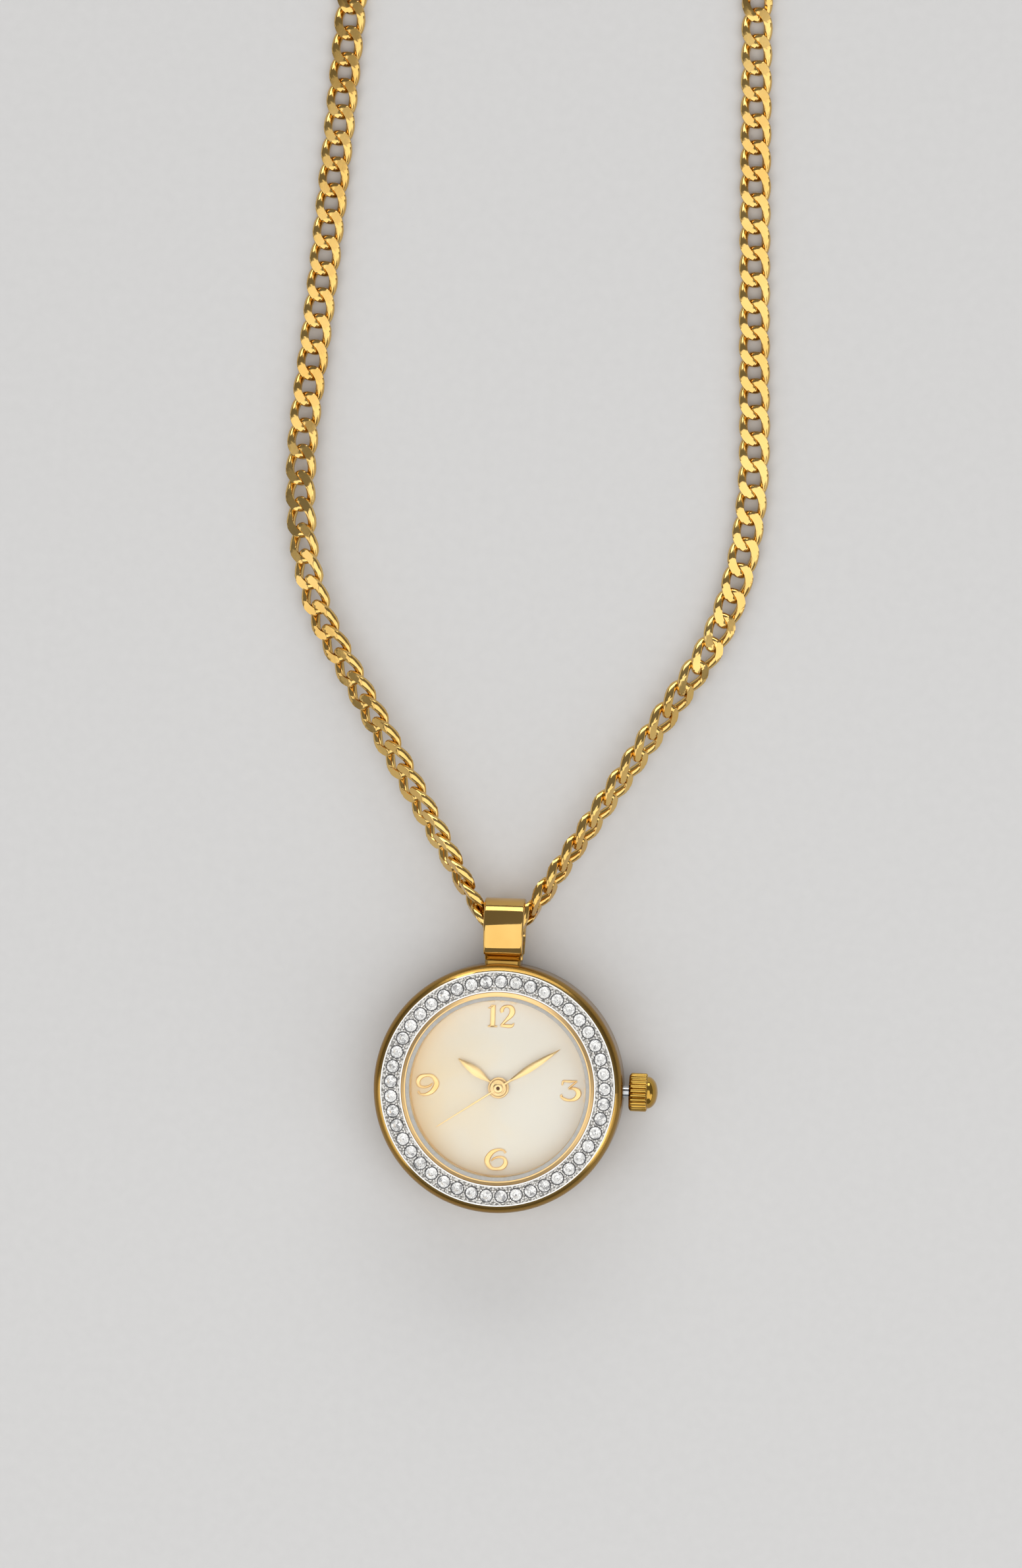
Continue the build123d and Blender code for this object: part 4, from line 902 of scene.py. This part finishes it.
boss_points, boss_faces = turned(
    [(r, second_level + z) for r, z in boss], hub_segments, len(second_points)
)
second_points.extend(boss_points)
second_faces.extend(boss_faces)
second_hand = make_piece(
    "second_hand_gilt", second_points, second_faces, [hand_gold], "second_hand_body", crease=25
)
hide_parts("second_hand")

# Steel browned by heat: a dark brown dot with a dull gloss
arbor_steel = worked_metal(
    "heat_browned_steel", light="#6B4526", deep="#54331A", sheen=0.3, dull=0.45, cloud=0.5, mark=0.1
)
arbor_profile = [(0.01, 5.6), (0.17, 5.6), (0.17, 5.68), (0.1, 5.72), (0.01, 5.73)]
arbor_points, arbor_faces = turned(arbor_profile, 24)
arbor = make_piece(
    "second_arbor_end", arbor_points, arbor_faces, [arbor_steel], "second_hand_body", crease=40
)

# Crown: turned from brass, with 24 rounded flutes milled round its grip and a polished dome, and
# gold plated. It is screwed to the steel stem, and it is pulled out, so that the stem's steel
# tube shows in the gap.
crown_start = 13.57
crown_level = 3.05
crown_length = 3.0
crown_flutes = 24
flute_steps = 16
flute_depth = 0.17
flute_roundness = 0.7
# Along the stem, radius, and how much of the flute is cut there
crown_profile = [
    (0.0, 0.94, 0), (0.0, 1.55, 0), (0.0, 1.72, 0), (0.1, 1.88, 0.9), (0.22, 2.0, 1), (1.0, 2.0, 1),
    (1.76, 2.0, 1), (1.87, 1.9, 0.9), (1.92, 1.76, 0.2), (1.93, 1.7, 0), (1.97, 1.68, 0),
    (2.1, 1.66, 0), (2.3, 1.58, 0), (2.5, 1.42, 0), (2.68, 1.2, 0), (2.82, 0.95, 0), (2.92, 0.62, 0),
    (2.98, 0.26, 0),
]
# Gold plate on milled brass, painted a deeper yellow than the case as painted shade for the dim
# room that the crown mirrors, with a dark line in each flute
crown_gold_with_painted_shade = worked_metal(
    "milled_gold_plated_crown_painted_shade", light="#C6A04C", deep="#AE873B", sheen=0.08, dull=0.16,
    cloud=3.0, mark=0.25,
)
crown_sides = flute_steps * crown_flutes
crown_size = len(crown_profile)
crown_points = []
crown_faces = []
for i in range(crown_sides):
    angle = 2 * pi * i / crown_sides
    scallop = 1 - abs(sin(crown_flutes * angle / 2)) ** flute_roundness
    for x, radius, fluted in crown_profile:
        reach = radius - fluted * flute_depth * scallop
        crown_points.append((crown_start + x, reach * cos(angle), crown_level + reach * sin(angle)))
    for j in range(crown_size - 1):
        a, b = i * crown_size + j, (i + 1) % crown_sides * crown_size + j
        crown_faces.append((a, a + 1, b + 1, b))
tip = len(crown_points)
crown_points.append((crown_start + crown_length, 0, crown_level))
for i in range(crown_sides):
    a, b = (i + 1) * crown_size - 1, ((i + 1) % crown_sides + 1) * crown_size - 1
    crown_faces.append((a, tip, b))
bore_profile = [(0.0, 0.94), (1.5, 0.94), (1.5, 0.3)]
bore_size = len(bore_profile)
bore_sides = 48
for i in range(bore_sides):
    angle = 2 * pi * i / bore_sides
    for x, radius in bore_profile:
        crown_points.append((crown_start + x, radius * cos(angle), crown_level + radius * sin(angle)))
    for j in range(bore_size - 1):
        a, b = tip + 1 + i * bore_size + j, tip + 1 + (i + 1) % bore_sides * bore_size + j
        crown_faces.append((a, b, b + 1, a + 1))
crown = make_piece(
    "crown_fluted", crown_points, crown_faces, [crown_gold_with_painted_shade], "crown_and_stem", crease=40
)
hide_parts("crown")
dress(["crown_tube", "stem"], turned_steel)

# Bail: a band of brass with rounded edges, bent into a loop that the chain's middle link hangs
# in, soldered to the case's lug and gold plated.
bail_foot = 13.25
bail_length = 6.55
bail_foot_half = 2.02
bail_top_half = 2.15
bail_wall = 0.6
bail_round = 0.24
inner_round = 0.1
# The band's outer line, seen from the side in Y and Z: each knot with the two handles after it
bail_knots = [
    ((13.25, 5.3), (13.9, 5.6), (14.4, 6.15)),
    ((15.6, 6.33), (16.6, 6.42), (18.0, 6.35)),
    ((18.9, 5.6), (19.35, 5.2), (19.8, 4.5)),
    ((19.8, 3.375), (19.8, 2.2), (19.5, 1.2)),
    ((19.0, 0.8), (18.2, 0.2), (16.9, 0.3)),
    ((15.74, 0.4), (14.9, 0.48), (14.1, 1.25)),
    ((13.25, 1.25), None, None),
]
# The soldered foot is narrower than the band and lies a little inside its outer line
bail_step = 13.75
step_half = 1.9
step_depth = 0.12
# Gold plate on mirror-polished brass: the room shows in it as broad dark and bright bands
bail_gold = worked_metal(
    "mirror_polished_gold_plated_bail", light="#D9B269", deep="#CAA056", sheen=0.035, dull=0.08,
    cloud=6.0, mark=0.3,
)
side_view = []
for (knot, leave, arrive), (next_knot, _, _) in zip(bail_knots, bail_knots[1:]):
    corners = [Vector(place) for place in (knot, leave, arrive, next_knot)]
    side_view.extend(interpolate_bezier(*corners, 13)[:-1])
side_view.append(Vector(bail_knots[-1][0]))
corner_steps = 4
bail_sides = 4 * corner_steps
bail_points = []
bail_faces = []
for i, point in enumerate(side_view):
    before, after = side_view[max(i - 1, 0)], side_view[min(i + 1, len(side_view) - 1)]
    ahead = (after - before).normalized()
    inward = Vector((ahead.y, -ahead.x))
    half = bail_foot_half + (bail_top_half - bail_foot_half) * (point.x - bail_foot) / bail_length
    outer = 0
    if point.x < bail_step:
        half = step_half
        outer = step_depth
    corners = [
        (bail_round - half, outer + bail_round, bail_round, 180),
        (half - bail_round, outer + bail_round, bail_round, 270),
        (half - inner_round, bail_wall - inner_round, inner_round, 0),
        (inner_round - half, bail_wall - inner_round, inner_round, 90),
    ]
    for x, depth, reach, start in corners:
        for k in range(corner_steps):
            turn = radians(start + 90 / (corner_steps - 1) * k)
            y, z = point + inward * (depth + reach * sin(turn))
            bail_points.append((x + reach * cos(turn), y, z))
for i in range(len(side_view) - 1):
    for j in range(bail_sides):
        a, b = i * bail_sides + j, i * bail_sides + (j + 1) % bail_sides
        bail_faces.append((a, b, b + bail_sides, a + bail_sides))
bail_faces.append(list(range(bail_sides - 1, -1, -1)))
bail_faces.append([(len(side_view) - 1) * bail_sides + j for j in range(bail_sides)])
bail = make_piece("bail_loop", bail_points, bail_faces, [bail_gold], "watch", crease=50)
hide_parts("bail")

# Movement: a small quartz calibre with stamped plates of nickelled brass, held together by three
# screws, and cut brass wheels on steel arbors. A moulded acetal ring holds it in the case, and
# it shows only when the back is off.

# Nickelled brass is a warm silver grey, cut brass a soft yellow, and moulded acetal milky white
nickelled_brass = worked_metal(
    "nickelled_brass", light="#CFCBBE", deep="#B9B4A5", sheen=0.25, dull=0.4, cloud=4.0, mark=0.1
)
dress(["main_plate", "train_bridge"], nickelled_brass)
cut_brass = worked_metal(
    "cut_brass", light="#D9BC79", deep="#C5A45F", sheen=0.25, dull=0.4, cloud=4.0, mark=0.1
)
dress(["second_wheel", "third_wheel", "centre_wheel", "cannon_pinion"], cut_brass)
dress(["minute_wheel", "hour_wheel", "setting_wheel"], cut_brass)
dress(["bridge_screws", "setting_lever", "sliding_pinion", "battery_clip", "rotor"], turned_steel)
acetal = matt_material(
    "moulded_acetal", light="#ECEAE3", dark="#E2DFD6", roughness=0.5, grain=1.2, depth=0.02
)
dress(["movement_holder", "step_wheel"], acetal)

# Electronics: a glass-epoxy board with a cast resin drop over its chip and a steel can with the
# crystal, a battery in a steel can, and a coil of lacquered copper wire, wound on an iron core
# beside the stator.

# Printed solder mask is an even dark green, cast resin a glossy black, annealed iron a dull grey
board_green = matt_material(
    "printed_solder_mask", light="#2F6B45", dark="#265A39", roughness=0.35, grain=0.6, depth=0.01
)
dress(["circuit_board"], board_green)
resin = matt_material(
    "cast_black_resin", light="#1E1E20", dark="#141416", roughness=0.3, grain=0.5, depth=0.02
)
dress(["timing_chip"], resin)
dress(["quartz_crystal", "battery"], turned_steel)
soft_iron = worked_metal(
    "annealed_soft_iron", light="#A9A8A5", deep="#93918D", sheen=0.3, dull=0.45, cloud=2.0, mark=0.1
)
dress(["coil_core", "stator"], soft_iron)
# Wound copper wire: a painted highlight on the crown of each turn and painted shade in the gaps
# between turns. The real turns are a few hundredths of a millimetre apart, and are drawn 0.16 mm
# apart so that they show.
turn_pitch = 0.16
turn_depth = 0.03
copper, copper_tree, copper_shader = new_material(
    "wound_lacquered_copper", {"Metallic": 1, "Roughness": 0.3}
)
copper_place = add_node(copper_tree, "TexCoord", {})
copper_turns = add_node(
    copper_tree, "TexWave",
    {"Scale": wave_repeat * mm_per_metre / turn_pitch, "Distortion": 0.4, "Detail": 1},
    {"Vector": copper_place.outputs["Object"]},
)
copper_painted_light_and_shade = add_node(copper_tree, "ValToRGB", {}, {"Fac": copper_turns.outputs["Fac"]})
copper_painted_light_and_shade.color_ramp.elements[0].color = from_hex("#7A3A1C")
copper_painted_light_and_shade.color_ramp.elements[1].color = from_hex("#D0804C")
copper_relief = add_node(
    copper_tree, "Bump", {"Strength": 0.6, "Distance": turn_depth / mm_per_metre},
    {"Height": copper_turns.outputs["Fac"]},
)
copper_tree.links.new(copper_painted_light_and_shade.outputs["Color"], copper_shader.inputs["Base Color"])
copper_tree.links.new(copper_relief.outputs["Normal"], copper_shader.inputs["Normal"])
dress(["coil_winding"], copper)

# Floor and light: a plain sheet of pale uncoated paper, with a broad soft light overhead, a strip
# beyond the chain and a soft light on each side. The dim room between them gives the polished
# gold its dark bands.
floor_half = 3
floor_mesh = bpy.data.meshes.new("floor")
floor_mesh.from_pydata(
    [
        (-floor_half, -floor_half, 0), (floor_half, -floor_half, 0),
        (floor_half, floor_half, 0), (-floor_half, floor_half, 0),
    ],
    [], [(0, 1, 2, 3)],
)
floor = bpy.data.objects.new("floor", floor_mesh)
scene.collection.objects.link(floor)
# Uncoated paper: matt, with a faint mottle of its fibres 1.1 mm wide
paper, paper_tree, paper_shader = new_material("uncoated_paper", {"Roughness": 0.85})
paper_place = add_node(paper_tree, "TexCoord", {})
paper_fibre = add_node(
    paper_tree, "TexNoise", {"Scale": mm_per_metre / 1.1111, "Detail": 3},
    {"Vector": paper_place.outputs["Object"]},
)
paper_tone = add_node(paper_tree, "ValToRGB", {}, {"Fac": paper_fibre.outputs["Fac"]})
paper_tone.color_ramp.elements[0].color = from_hex("#D6D5D3")
paper_tone.color_ramp.elements[1].color = from_hex("#DCDBD9")
paper_tree.links.new(paper_tone.outputs["Color"], paper_shader.inputs["Base Color"])
floor_mesh.materials.append(paper)
light_aim = Vector((0, 0.03, 0))
lights = (
    ("overhead", (0.05, -0.24, 0.85), (1.8, 1.05), 8.2),
    ("far_strip", (0.0, 1.15, 0.45), (1.5, 0.45), 6.0),
    ("left_side", (-1.0, -0.4, 0.42), (0.8, 0.6), 1.7),
    ("right_side", (1.0, -0.45, 0.42), (0.7, 0.6), 1.8),
)
for name, place, size, power in lights:
    light_data = bpy.data.lights.new(name, "AREA")
    light_data.shape = "RECTANGLE"
    light_data.size = size[0]
    light_data.size_y = size[1]
    light_data.energy = power
    light = bpy.data.objects.new(name, light_data)
    light.location = place
    light.rotation_euler = (light_aim - Vector(place)).to_track_quat("-Z", "Y").to_euler()
    scene.collection.objects.link(light)
world = bpy.data.worlds.new("room")
world.use_nodes = True
world.node_tree.nodes["Background"].inputs["Color"].default_value = from_hex("#A9A9AC")
world.node_tree.nodes["Background"].inputs["Strength"].default_value = 0.55
scene.world = world
scene.view_settings.view_transform = "Standard"
